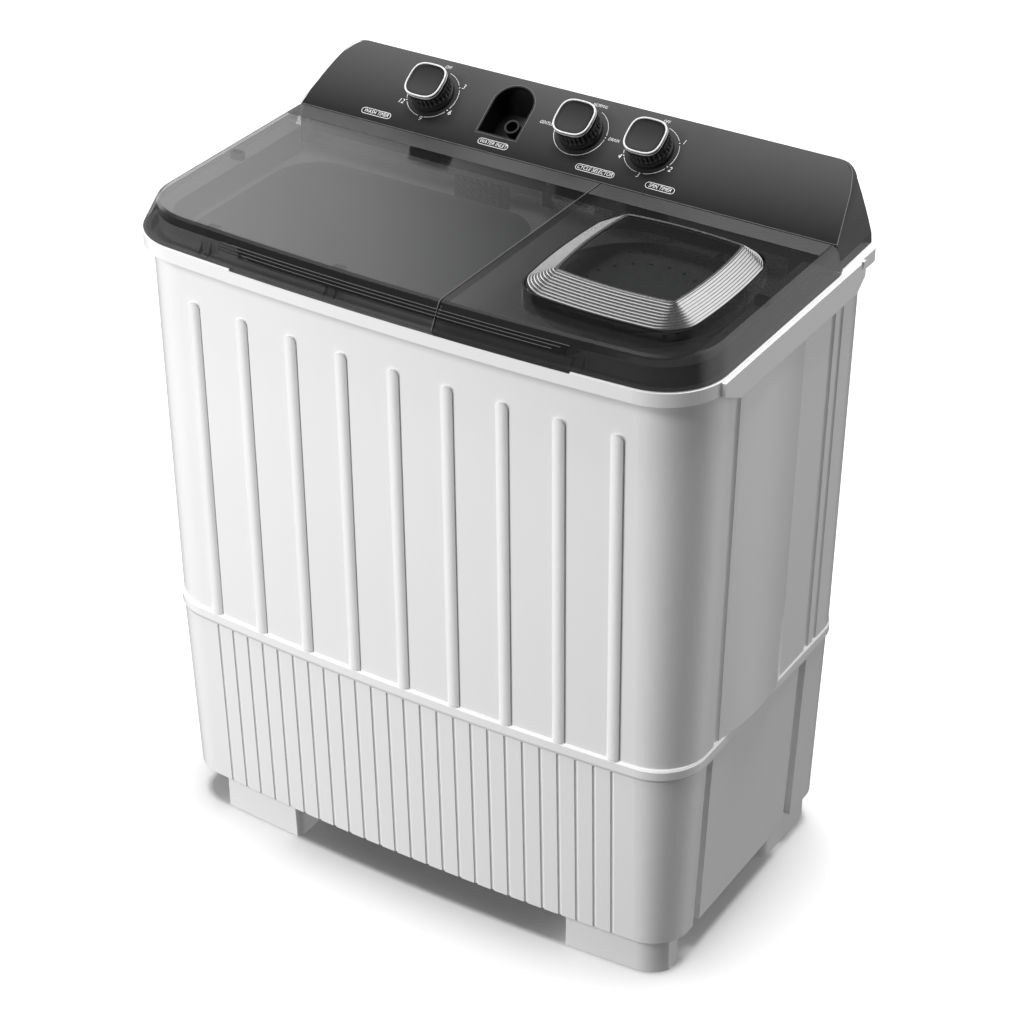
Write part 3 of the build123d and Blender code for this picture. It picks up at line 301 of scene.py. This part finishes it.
def smoked(name, clear, milk, milk_tone, roughness, mirror=0.045):
    """Smoke-tinted clear plastic film: see-through, slightly milky, with a glossy face."""
    g = Graph(name)
    cloud = g.noise(5.0, 3)
    clear_film = g.add("ShaderNodeBsdfTransparent", {"Color": clear}).outputs[0]
    haze = g.add("ShaderNodeBsdfDiffuse", {"Color": milk_tone}).outputs[0]
    body = g.mix(g.range(cloud, milk * 0.9, milk * 1.1), clear_film, haze)
    gloss = g.add("ShaderNodeBsdfGlossy", {"Color": (1, 1, 1), "Roughness": roughness}).outputs[0]
    return g.finish(g.mix(facing_share(g, mirror), body, gloss))


# Flat ink: the legends' real print, and also the grey painted highlights on edges and ridge crests
def ink_and_painted_highlight(name, colour):
    g = Graph(name)
    speckle = g.noise(2500.0, 2)
    tone = g.blend(speckle, tuple(c * 0.85 for c in colour), colour)
    return g.finish(g.principled({"Base Color": tone, "Roughness": 0.45}))


def fading_painted_shade(name, x_clear, x_full):
    """Black sheet of painted shade that thins out towards one end, so that light leaks past it there."""
    g = Graph(name)
    share = g.range(g.along(0), 0.0, 0.93, x_clear * MM, x_full * MM)
    grain = g.noise(900.0, 2)
    # painted shade: this matt black stands for the dark hollow behind the lid's skirt; only its grain is
    # rubber-like
    rubber = g.principled({"Base Color": (0.006, 0.006, 0.006), "Roughness": 0.6,
                           "Normal": g.bump(grain, 0.00003)})
    clear = g.add("ShaderNodeBsdfTransparent", {"Color": (0.9, 0.9, 0.9)}).outputs[0]
    return g.finish(g.mix(share, clear, rubber))


def panel_with_painted_reflection(name):
    """Charcoal panel moulding with a painted reflection that makes it a shade lighter up the slope, and a
    polished skin.
    """
    g = Graph(name)
    painted_reflection_rise = g.range(g.along(2), 0.0, 1.0, LID_TOP * MM, PANEL_TOP * MM)
    # painted reflection: the base colour lightens from the panel's foot to its top
    tone = g.blend(painted_reflection_rise, (0.005, 0.005, 0.005), (0.065, 0.065, 0.066))
    peel = g.noise(500.0, 2)
    return g.finish(g.principled({"Base Color": tone, "Roughness": g.range(g.noise(8.0, 3), 0.24, 0.34),
                                  "Specular IOR Level": 0.25, "Normal": g.bump(peel, 0.00003, 0.0006)}))


def cap_with_painted_reflection(name):
    """Glossy black cap face with a painted reflection, greying towards its lower edge."""
    g = Graph(name)
    painted_reflection_rise = g.range(g.along(2), 0.0, 1.0, CAP_LOW * MM, CAP_HIGH * MM)
    # painted reflection: lighter grey at the cap's lower edge, black at its top
    tone = g.blend(painted_reflection_rise, (0.045, 0.045, 0.045), (0.002, 0.002, 0.002))
    return g.finish(g.principled({"Base Color": tone, "Roughness": g.range(g.noise(60.0, 3), 0.2, 0.28),
                                  "Specular IOR Level": 0.3}))


def make_materials():
    return {
        "white": moulded("white_gloss", (0.86, 0.86, 0.86), 0.22, coat=0.35),
        "deck": moulded("deck_white", (0.83, 0.83, 0.83), 0.3, coat=0.15),
        "tub": moulded("tub_white", (0.78, 0.785, 0.79), 0.35),
        "panel": panel_with_painted_reflection("panel_charcoal_painted_reflection"),
        "black": moulded("black_gloss", (0.008, 0.008, 0.008), 0.25, edge=0.0004),
        "grille": textured("comb_black", (0.006, 0.006, 0.006), 0.55, 900.0, 0.00003),
        "wash_lid": smoked("smoked_lid_wash", (0.53, 0.53, 0.53), 0.07, (0.10, 0.10, 0.10), 0.08),
        # painted shade: a darker copy of the wash lid's smoked film, darkened for the shade over the spin side
        "spin_lid": smoked("smoked_lid_spin_painted_shade", (0.40, 0.40, 0.40), 0.10, (0.09, 0.09, 0.09), 0.08),
        "pane": smoked("window_smoke", (0.50, 0.50, 0.50), 0.06, (0.04, 0.04, 0.04), 0.05),
        "grey": moulded("grey_satin", (0.42, 0.43, 0.44), 0.42),
        "blue": moulded("pulsator_blue", (0.33, 0.48, 0.66), 0.3, coat=0.1),
        "rubber": textured("rubber_black", (0.02, 0.02, 0.02), 0.75, 500.0, 0.00008),
        "steel": brushed("steel_brushed", (0.6, 0.6, 0.61), 0.32, (1, 1, 0.06)),
        "drum": brushed("drum_steel", (0.62, 0.62, 0.63), 0.3, (1, 1, 0.05)),
        "motor": textured("motor_paint", (0.07, 0.075, 0.085), 0.42, 300.0, 0.00005),
        "cast": textured("cast_metal", (0.45, 0.45, 0.46), 0.5, 220.0, 0.00015),
        "cable": textured("cable_black", (0.02, 0.02, 0.02), 0.5, 600.0, 0.00004),
        "chrome": brushed("chrome_trim", (0.93, 0.93, 0.93), 0.12, (1, 1, 1), 0.35),
        "silver": brushed("frame_silver", (0.80, 0.80, 0.80), 0.24, (1, 1, 1)),
        "frost": smoked("hinge_cover_frost", (0.50, 0.50, 0.50), 0.62, (0.075, 0.075, 0.075), 0.35, 0.05),
        "cap": cap_with_painted_reflection("knob_cap_black_painted_reflection"),
        # painted highlight: a lighter black for the knob skirt's lands between slots
        "land": moulded("knob_land_black", (0.10, 0.10, 0.10), 0.25, coat=0.6, edge=0.0002),
        "knob": moulded("knob_skirt_black", (0.014, 0.014, 0.014), 0.3, coat=0.6, edge=0.0002),
        "ink": ink_and_painted_highlight("legend_ink", (0.80, 0.80, 0.80)),
        # painted highlight: grey for the panel's edge lines and the wash lid's meeting edge
        "line": ink_and_painted_highlight("edge_painted_highlight", (0.20, 0.20, 0.20)),
        # painted highlight for the finger ridges' crests
        "ridge": ink_and_painted_highlight("ridge_crest_painted_highlight", (0.12, 0.12, 0.12)),
        # painted shade: black sheets inside the lids' front skirts, thinning out at one end
        "shade_sheet_wash": fading_painted_shade("shade_sheet_wash", -322, -285),
        "shade_sheet_spin": fading_painted_shade("shade_sheet_spin", 268, 225),
    }


NODE_LOOKS = {
    "white": ("base_skirt", "cabinet_shell", "front_feet", "rear_feet", "rear_service_cover", "drain_outlet"),
    "deck": ("top_deck",),
    "tub": ("wash_tub", "spin_drum_casing", "bottom_plate"),
    "panel": ("control_panel",),
    "black": ("inlet_recess", "panel_back_cover", "inlet_spigot"),
    "grille": ("deck_grilles",),
    "wash_lid": ("wash_lid",),
    "spin_lid": ("spin_lid",),
    "pane": ("window_pane",),
    "grey": ("lint_filter", "spin_cover", "drain_pipe", "overflow_pipe", "drain_valve_body", "drain_valve_plug",
             "wash_timer", "cycle_switch", "spin_timer", "lid_switch", "motor_capacitors"),
    "blue": ("pulsator",),
    "rubber": ("shaft_seal", "spin_shaft_boot", "spin_motor_mounts", "wash_lid_bumpers",
               "spin_lid_bumpers", "drive_belt"),
    "steel": ("hinge_pins", "drive_plate", "service_screws", "pulsator_shaft", "spin_shaft", "brake_lever",
              "brake_drum"),
    "drum": ("spin_basket",),
    "motor": ("wash_motor", "spin_motor"),
    "cast": ("gearbox", "pulsator_pulley", "wash_motor_pulley"),
    "cable": ("wiring_harness",),
}


def dress_nodes(look):
    for key, names in NODE_LOOKS.items():
        for name in names:
            slots = NODES[name].data.materials
            if not slots:
                slots.append(look[key])
            for i in range(len(slots)):
                slots[i] = look[key]


# ---------------------------------------------------------------- mesh tools
def piece(name, verts, faces, body, materials, smooth=True, matrix=MACHINE, choose=None):
    """A mesh piece in place on its body. choose picks a material number for each face number."""
    mesh = bpy.data.meshes.new(name)
    mesh.from_pydata([matrix @ Vector(v) for v in verts], [], faces)
    for material in materials:
        mesh.materials.append(material)
    mesh.polygons.foreach_set("use_smooth", [smooth] * len(faces))
    if choose:
        mesh.polygons.foreach_set("material_index", [choose(i) for i in range(len(faces))])
    mesh.update()
    obj = bpy.data.objects.new(name, mesh)
    bpy.context.scene.collection.objects.link(obj)
    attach(obj, body)
    return obj


def loft(rings, loop=False, first_cap=False, last_cap=False):
    """Quads between equal closed rings of points. loop joins the last ring to the first."""
    count = len(rings[0])
    verts = [point for ring in rings for point in ring]
    faces = []
    pairs = [(i, i + 1) for i in range(len(rings) - 1)]
    if loop:
        pairs.append((len(rings) - 1, 0))
    for a, b in pairs:
        for k in range(count):
            n = (k + 1) % count
            faces.append((a * count + k, a * count + n, b * count + n, b * count + k))
    if first_cap:
        faces.append(tuple(reversed(range(count))))
    if last_cap:
        start = (len(rings) - 1) * count
        faces.append(tuple(range(start, start + count)))
    return verts, faces


def sharpen(obj, degrees):
    """Keeps edges crisp above an angle."""
    obj.data.set_sharp_from_angle(angle=radians(degrees))


def outline(x0, x1, y0, y1, bow, corner, arc=12, side=16):
    """Equally many points round any rectangle with bowed sides and round corners."""
    cx, cy = (x0 + x1) / 2, (y0 + y1) / 2
    half_x, half_y = (x1 - x0) / 2 - bow, (y1 - y0) / 2 - bow
    walk = []
    for quarter, (sx, sy) in enumerate(((1, 1), (-1, 1), (-1, -1), (1, -1))):
        centre = Vector((sx * (half_x - corner), sy * (half_y - corner)))
        for i in range(arc + 1):
            turn = radians(90 * (quarter + i / arc))
            normal = Vector((cos(turn), sin(turn)))
            walk.append((centre + normal * corner, normal))
        nx, ny = ((-1, 1), (-1, -1), (1, -1), (1, 1))[quarter]
        end_turn = radians(90 * (quarter + 1))
        normal = Vector((cos(end_turn), sin(end_turn)))
        start = centre + normal * corner
        end = Vector((nx * (half_x - corner), ny * (half_y - corner))) + normal * corner
        for i in range(1, side):
            walk.append((start.lerp(end, i / side), normal))
    points = []
    for point, normal in walk:
        push_x = bow * max(0.0, 1 - (point.y / half_y) ** 2) * normal.x * abs(normal.x)
        push_y = bow * max(0.0, 1 - (point.x / half_x) ** 2) * normal.y * abs(normal.y)
        points.append((cx + point.x + push_x, cy + point.y + push_y))
    return points


def tube(name, points, radius, body, material, matrix=MACHINE, cyclic=False):
    """Fine round bead through points, as a curve with a bevel."""
    curve = bpy.data.curves.new(name, "CURVE")
    curve.dimensions = "3D"
    curve.bevel_depth = radius * MM
    curve.bevel_resolution = 2
    spline = curve.splines.new("POLY")
    spline.points.add(len(points) - 1)
    for point, place in zip(spline.points, points):
        point.co = (*(matrix @ Vector(place)), 1)
    spline.use_cyclic_u = cyclic
    curve.materials.append(material)
    obj = bpy.data.objects.new(name, curve)
    bpy.context.scene.collection.objects.link(obj)
    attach(obj, body)
    return obj


def smooth_path(points, steps=8):
    """Catmull-Rom points through a few guide points."""
    guides = [Vector(p) for p in points]
    guides = [2 * guides[0] - guides[1]] + guides + [2 * guides[-1] - guides[-2]]
    path = []
    for a, b, c, d in zip(guides, guides[1:], guides[2:], guides[3:]):
        for i in range(steps):
            t = i / steps
            path.append(0.5 * (2 * b + (c - a) * t + (2 * a - 5 * b + 4 * c - d) * t ** 2
                               + (3 * b - a - 3 * c + d) * t ** 3))
    path.append(guides[-2])
    return path


# ---------------------------------------------------------------- knobs
def rounded_square(half, lift, fullness=3.1, count=96):
    """Superellipse between a circle and a square."""
    points = []
    for k in range(count):
        turn = 2 * pi * k / count
        x, y = cos(turn), sin(turn)
        reach = half / (abs(x) ** fullness + abs(y) ** fullness) ** (1 / fullness)
        points.append((reach * x, reach * y, lift))
    return points


def knob_skirt(name, spot, body, look):
    """Turned black skirt: smooth flared foot, a thin waist and a ring of upright finger slots, with a painted
    highlight on the lands between the slots.
    """
    flutes, per_flute = 30, 8
    columns = flutes * per_flute
    slot_depth, slot_from, slot_to = 2.6, 0.2, 0.9
    # Each row: height, radius, share of the slots' depth.
    rows = [(0.8, 24.6, 0), (1.0, 25.3, 0), (2.0, 25.5, 0), (4.6, 25.2, 0), (5.6, 24.5, 0), (6.2, 23.9, 0),
            (7.4, 23.8, 0), (8.0, 24.3, 0), (8.8, 24.6, 0), (9.4, 24.7, 0.35), (10.2, 24.7, 0.85),
            (11.4, 24.7, 1.0), (17.0, 24.6, 1.0), (18.6, 24.5, 0.9), (19.3, 24.3, 0.4), (19.9, 24.0, 0),
            (20.0, 22.5, 0)]
    rings = []
    for height, radius, depth in rows:
        ring = []
        for k in range(columns):
            phase = (k % per_flute) / per_flute
            slot = sin(pi * (phase - slot_from) / (slot_to - slot_from)) if slot_from < phase < slot_to else 0.0
            reach = radius - slot_depth * depth * slot ** 0.5
            turn = 2 * pi * k / columns
            ring.append((reach * cos(turn), reach * sin(turn), height))
        rings.append(ring)
    verts, faces = loft(rings, first_cap=True, last_cap=True)

    # painted highlight: the lands between the slots take a lighter black than the rest of the skirt
    def land(i):
        between_slots = (i % columns) % per_flute in (0, 1, 7)
        return 1 if between_slots and 9 <= i // columns <= 14 else 0
    obj = piece(name + "_skirt", verts, faces, body, [look["knob"], look["land"]],
                matrix=spot, choose=land)
    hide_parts(name + "_knob")
    sharpen(obj, 50)


def knob_cap(name, spot, body, look):
    """Rounded-square cap with a softly crowned glossy face."""
    rings = [rounded_square(half, lift) for half, lift in (
        (20.4, 20.0), (20.4, 26.4), (20.1, 26.9), (19.4, 27.3), (15.0, 27.9), (9.0, 28.3), (3.0, 28.4))]
    verts, faces = loft(rings, first_cap=True, last_cap=True)
    obj = piece(name + "_face", verts, faces, body, [look["cap"]], matrix=spot)
    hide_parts(name + "_knob_cap")
    sharpen(obj, 60)


def knob_ring(name, spot, body, look):
    """Bright ring: a rounded bead on top, a shaded wall and a thin bead at its foot."""
    profile = ((20.3, 27.0), (20.5, 27.7), (21.1, 28.1), (21.8, 28.0), (22.2, 27.5), (22.3, 26.8),
               (22.0, 26.2), (21.9, 24.4), (22.2, 24.0), (22.3, 23.4), (22.1, 22.8), (21.6, 22.4), (20.4, 22.2))
    rings = [rounded_square(half, height) for half, height in profile]
    verts, faces = loft(rings, loop=True)
    per_ring = len(rings[0])
    obj = piece(name + "_bezel", verts, faces, body, [look["chrome"], look["knob"]],
                matrix=spot, choose=lambda i: 1 if i // per_ring in (6, 11, 12) else 0)
    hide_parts(name + "_knob_ring")


def make_knobs(look):
    for name, (x, up, body) in KNOBS.items():
        spot = FACE @ Matrix.Translation((x, up, 0))
        knob_skirt(name, spot, body, look)
        knob_cap(name, spot, body, look)
        knob_ring(name, spot, body, look)


# ---------------------------------------------------------------- printed legends
def arc_strip(centre, radius, start, end, width):
    """Flat printed arc. Angles are degrees clockwise from straight up the slope."""
    steps = max(6, int(abs(end - start) / 4))
    verts, faces = [], []
    for i in range(steps + 1):
        turn = radians(start + (end - start) * i / steps)
        for reach in (radius - width / 2, radius + width / 2):
            verts.append((centre[0] + reach * sin(turn), centre[1] + reach * cos(turn), PRINT_LIFT))
        if i:
            faces.append((2 * i - 2, 2 * i - 1, 2 * i + 1, 2 * i))
    return verts, faces


def capsule_strip(x0, x1, up, height, width):
    """Flat printed outline of a capsule."""
    radius = height / 2
    path = []
    for cx, start in ((x1 - radius, 0), (x0 + radius, 180)):
        for i in range(13):
            turn = radians(start + 180 * i / 12)
            path.append((cx, sin(turn), cos(turn)))
    verts, faces = [], []
    count = len(path)
    for cx, s, c in path:
        for reach in (radius - width, radius):
            verts.append((cx + reach * s, up + reach * c, PRINT_LIFT))
    for i in range(count):
        a, b = 2 * i, 2 * ((i + 1) % count)
        faces.append((a, a + 1, b + 1, b))
    return verts, faces


def dial_point(x, up, angle, radius):
    return x + radius * sin(radians(angle)), up + radius * cos(radians(angle))


def printed_text(name, words, x, up, height, squeeze, look):
    curve = bpy.data.curves.new(name, "FONT")
    curve.body = words
    curve.align_x = "CENTER"
    curve.align_y = "CENTER"
    curve.shear = 0.25
    curve.offset = -0.006
    curve.extrude = 0.02
    curve.resolution_u = 4
    curve.materials.append(look["ink"])
    obj = bpy.data.objects.new(name, curve)
    size = height / 0.70
    stretch = Matrix.Diagonal((size * squeeze, size, 2.0, 1))
    obj.matrix_world = FACE @ Matrix.Translation((x, up, 0.1)) @ stretch
    bpy.context.scene.collection.objects.link(obj)
    bpy.context.view_layer.update()
    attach(obj, "cabinet")


def make_dial(name, look):
    """Words round one dial. Gives its ring's strips and its dots' places."""
    start, end, gaps, dots, words = DIALS[name]
    x, up, _ = KNOBS[name]
    strips = []
    for low, high in gaps:
        strips.append(arc_strip((x, up), DIAL_RADIUS, start, low, PRINT_WIDTH))
        start = high
    strips.append(arc_strip((x, up), DIAL_RADIUS, start, end, PRINT_WIDTH))
    for word, angle, reach, height in words:
        place = dial_point(x, up, angle, reach)
        squeeze = 0.82 if len(word) > 2 else 0.95
        printed_text(f"legend_{name}_{word}", word, *place, height, squeeze, look)
    return strips, [dial_point(x, up, angle, DIAL_RADIUS) for angle in dots]


def make_legends(look):
    strips, dots = [], []
    for name in ("wash_timer", "cycle", "spin_timer"):
        dial_strips, dial_dots = make_dial(name, look)
        strips += dial_strips
        dots += dial_dots
    strips += [arc_strip(dot, 0.35, 0, 360, 0.7) for dot in dots]
    for words, x0, x1 in CAPSULES:
        strips.append(capsule_strip(x0, x1, 12.0, 8.0, PRINT_WIDTH))
        name = "legend_" + words.replace(" ", "_").lower()
        printed_text(name, words, (x0 + x1) / 2, 12.0, 4.6, 0.84, look)
    verts, faces = [], []
    for strip_verts, strip_faces in strips:
        base = len(verts)
        verts += strip_verts
        faces += [tuple(base + i for i in face) for face in strip_faces]
    piece("legend_rings", verts, faces, "cabinet", [look["ink"]], smooth=False, matrix=FACE)


# ---------------------------------------------------------------- panel lines and water inlet
def panel_side_highlight_path(sign):
    """Path of the painted highlight along the sloping face's edge at one end, from its foot to the rounded top
    corner.
    """
    guides = [(338.8 * sign, 0.3, 0)]
    for x, z in ((331.2, 810), (325.0, 826), (316.0, 838.6), (306.5, 842.8), (298.0, 843.9)):
        guides.append((x * sign, (z - LID_TOP) / sin(SLOPE), 0))
    return smooth_path(guides)


def make_panel_edge_highlights(look):
    # painted highlights: light grey beads along the panel face's lower edge, its end edges and the water inlet's
    # arch rim, where rounded edges catch light
    lower = [(x, 0.4, 0.0) for x in range(-338, 339, 26)]
    tube("panel_lower_line", lower, 0.32, "cabinet", look["line"], FACE)
    for sign, word in ((-1, "left"), (1, "right")):
        tube(f"panel_{word}_line", panel_side_highlight_path(sign), 0.32, "cabinet", look["line"], FACE)
    radius, spring, foot, x = 26.4, 64.2, 21.3, -87.2
    path = [(x - radius, foot, 0), (x - radius, 40, 0)]
    path += [(x - radius * cos(radians(t)), spring + radius * sin(radians(t)), 0) for t in range(0, 181, 9)]
    path += [(x + radius, 40, 0), (x + radius, foot, 0)]
    tube("inlet_rim_line", path, 0.3, "cabinet", look["line"], FACE, cyclic=True)


# ---------------------------------------------------------------- window frame
def make_window_frame(look):
    """Sloping ring of nine bright ridges round the spin lid's window, with black painted shade in the valleys
    between ridges, at the frame's foot and underneath.
    """
    low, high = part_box("window_frame")
    x0, y0, base_z = (v / MM for v in low)
    x1, y1, top_z = (v / MM for v in high)
    margin = 3.2
    px0, py0 = (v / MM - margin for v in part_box("window_pane")[0][:2])
    px1, py1 = (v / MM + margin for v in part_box("window_pane")[1][:2])
    ridges, depth = 9, 1.15
    profile = ((0.0, 0.0), (0.07, 0.45), (0.2, 0.85), (0.38, 1.0), (0.6, 0.95), (0.76, 0.6), (0.86, 0.1))
    levels = [(0.0, -1.0), (0.0, 0.0)]
    for k in range(ridges):
        levels += [(0.02 + 0.96 * (k + f) / ridges, h) for f, h in profile]
    levels += [(0.985, 0.0), (0.99, 0.9), (1.0, 1.0)]
    rings = []
    for share, height in levels:
        drop = (height - 1.0) * depth
        box = [a + (b - a) * share for a, b in ((x0, px0), (x1, px1), (y0, py0), (y1, py1))]
        corner = 31 + (4 - 31) * share
        z = base_z + (top_z - base_z) * share + drop
        rings.append([(x, y, z) for x, y in outline(*box, 7 - 2 * share, corner)])
    inner = outline(px0 + 2.6, px1 - 2.6, py0 + 2.6, py1 - 2.6, 5, 2)
    rings.append([(x, y, top_z - 0.1) for x, y in inner])
    rings.append([(x, y, top_z - 3.2) for x, y in inner])
    rings.append([(x, y, base_z - 2.4) for x, y in outline(x0 + 4, x1 - 4, y0 + 4, y1 - 4, 7, 28)])
    verts, faces = loft(rings, loop=True)
    per_ring = len(rings[0])
    # painted shade: the valleys between ridges, the foot and the underside take black instead of silver
    painted_shade_bands = {0, 1, len(levels) - 4} | {2 + len(profile) * k + len(profile) - 1 for k in range(ridges)}

    def choose(i):
        band = i // per_ring
        return 1 if band in painted_shade_bands or band > len(levels) else 0
    obj = piece("window_ridged_frame", verts, faces, "spin_lid",
                [look["silver"], look["black"]], choose=choose)
    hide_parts("window_frame")
    sharpen(obj, 40)


# ---------------------------------------------------------------- lid details
def make_frosted_strip(name, x0, x1, body, look):
    """Finely ribbed frosted band along the back edge of a lid's top, over its hinges."""
    pitch = 2.0
    count = int((x1 - x0) / pitch)
    z = LID_TOP + 0.05
    section = []
    for i in range(count):
        x = x0 + i * pitch
        section += [(x + 0.1, 0.0), (x + 0.5, 0.35), (x + 1.1, 0.35), (x + 1.5, 0.0)]
    section.append((x1, 0.0))
    verts, faces = [], []
    y_steps = (94.0, 101.0, 108.0, 115.0, PANEL_FOOT_Y - 1.6)
    for y in y_steps:
        verts += [(x, y, z + h) for x, h in section]
    width = len(section)
    for row in range(len(y_steps) - 1):
        for k in range(width - 1):
            a = row * width + k
            faces.append((a, a + 1, a + width + 1, a + width))
    piece(name, verts, faces, body, [look["frost"]])


def front_bow(x):
    """How far the lids' bowed front has fallen back at x."""
    return 14.6 * (x / 345.0) ** 2


def corner_fall(x, start=277.0, radius=63.0):
    """How far the inside of the lids' round front corner has fallen back at x."""
    past = max(0.0, abs(x) - start)
    return radius - (radius ** 2 - past ** 2) ** 0.5


def make_lid_shade_sheet(name, x0, x1, body, material):
    """Thin black sheet of painted shade just inside the front skirt, lower along the finger grip."""
    # Section of the band: height, then place front to back.
    profile = ((769.5, -198.2), (773.0, -195.8), (777.8, -192.4), (779.6, -191.1), (783.4, -188.8),
               (785.5, -185.0))
    verts, faces = [], []
    steps = int((x1 - x0) / 6)
    levels = len(profile)
    for i in range(steps + 1):
        x = x0 + (x1 - x0) * i / steps
        dip = min(1.0, max(0.0, (x + 200) / 22)) * min(1.0, max(0.0, (222 - x) / 14))
        for k, (z, y) in enumerate(profile):
            if k < 2:
                z, y = (a + (b - a) * (1 - dip) for a, b in zip((z, y), profile[2]))
            verts.append((x, y + front_bow(x) + corner_fall(x), z))
    for i in range(steps):
        for k in range(levels - 1):
            a = i * levels + k
            faces.append((a, a + levels, a + levels + 1, a + 1))
    piece(name, verts, faces, body, [material])


def make_ridge_highlights(look):
    """Painted highlights on the crests of the three finger ridges across the front skirts, staggered at their
    ends.
    """
    low, high = -199.0, 208.0
    for number, (z, y) in enumerate(((774.6, -200.5), (777.6, -198.6), (780.5, -196.9))):
        for name, body, x0, x1 in (("wash", "wash_lid", low + 7 * (2 - number), 57.2),
                                   ("spin", "spin_lid", 58.8, high - 9 * (2 - number))):
            steps = int((x1 - x0) / 12)
            along = [x0 + (x1 - x0) * i / steps for i in range(steps + 1)]
            points = [(x, y + front_bow(x), z) for x in along]
            tube(f"{name}_lid_ridge_{number}", points, 0.32, body, look["ridge"])


def make_split_lines(look):
    """Painted highlight along the wash lid's meeting edge, a black joint line on the spin lid's meeting edge,
    and the black bead along each lid's back edge.
    """
    for name, body, x in (("wash", "wash_lid", 57.3), ("spin", "spin_lid", 58.7)):
        edge = ((x, PANEL_FOOT_Y - 2, LID_TOP + 0.1), (x, -188.3, LID_TOP + 0.1), (x, -192.2, 786.9),
                (x, -194.8, 783.0), (x, -207.6, 761.4))
        # painted highlight in grey on the wash lid's meeting edge; a black joint line on the spin lid's
        tone = look["line"] if name == "wash" else look["black"]
        tube(name + "_lid_meeting_edge", edge, 0.32, body, tone)
    for name, x0, x1 in (("wash_lid", -336.0, 57.0), ("spin_lid", 59.0, 334.0)):
        back = [(x, PANEL_FOOT_Y - 1.8, LID_TOP) for x in (x0, (x0 + x1) / 2, x1)]
        tube(name + "_back_bead", back, 0.45, name, look["black"])


def make_lid_details(look):
    make_ridge_highlights(look)
    make_split_lines(look)
    make_frosted_strip("wash_lid_frosted_strip", -336.0, 57.0, "wash_lid", look)
    make_frosted_strip("spin_lid_frosted_strip", 59.0, 334.0, "spin_lid", look)
    # painted shade sheets behind the front skirts
    make_lid_shade_sheet("wash_lid_shade_sheet", -322, 57.2, "wash_lid", look["shade_sheet_wash"])
    make_lid_shade_sheet("spin_lid_shade_sheet", 58.8, 268, "spin_lid", look["shade_sheet_spin"])


make_camera()
make_studio()
look = make_materials()
dress_nodes(look)
make_knobs(look)
make_legends(look)
make_panel_edge_highlights(look)
make_window_frame(look)
make_lid_details(look)
bpy.context.view_layer.update()
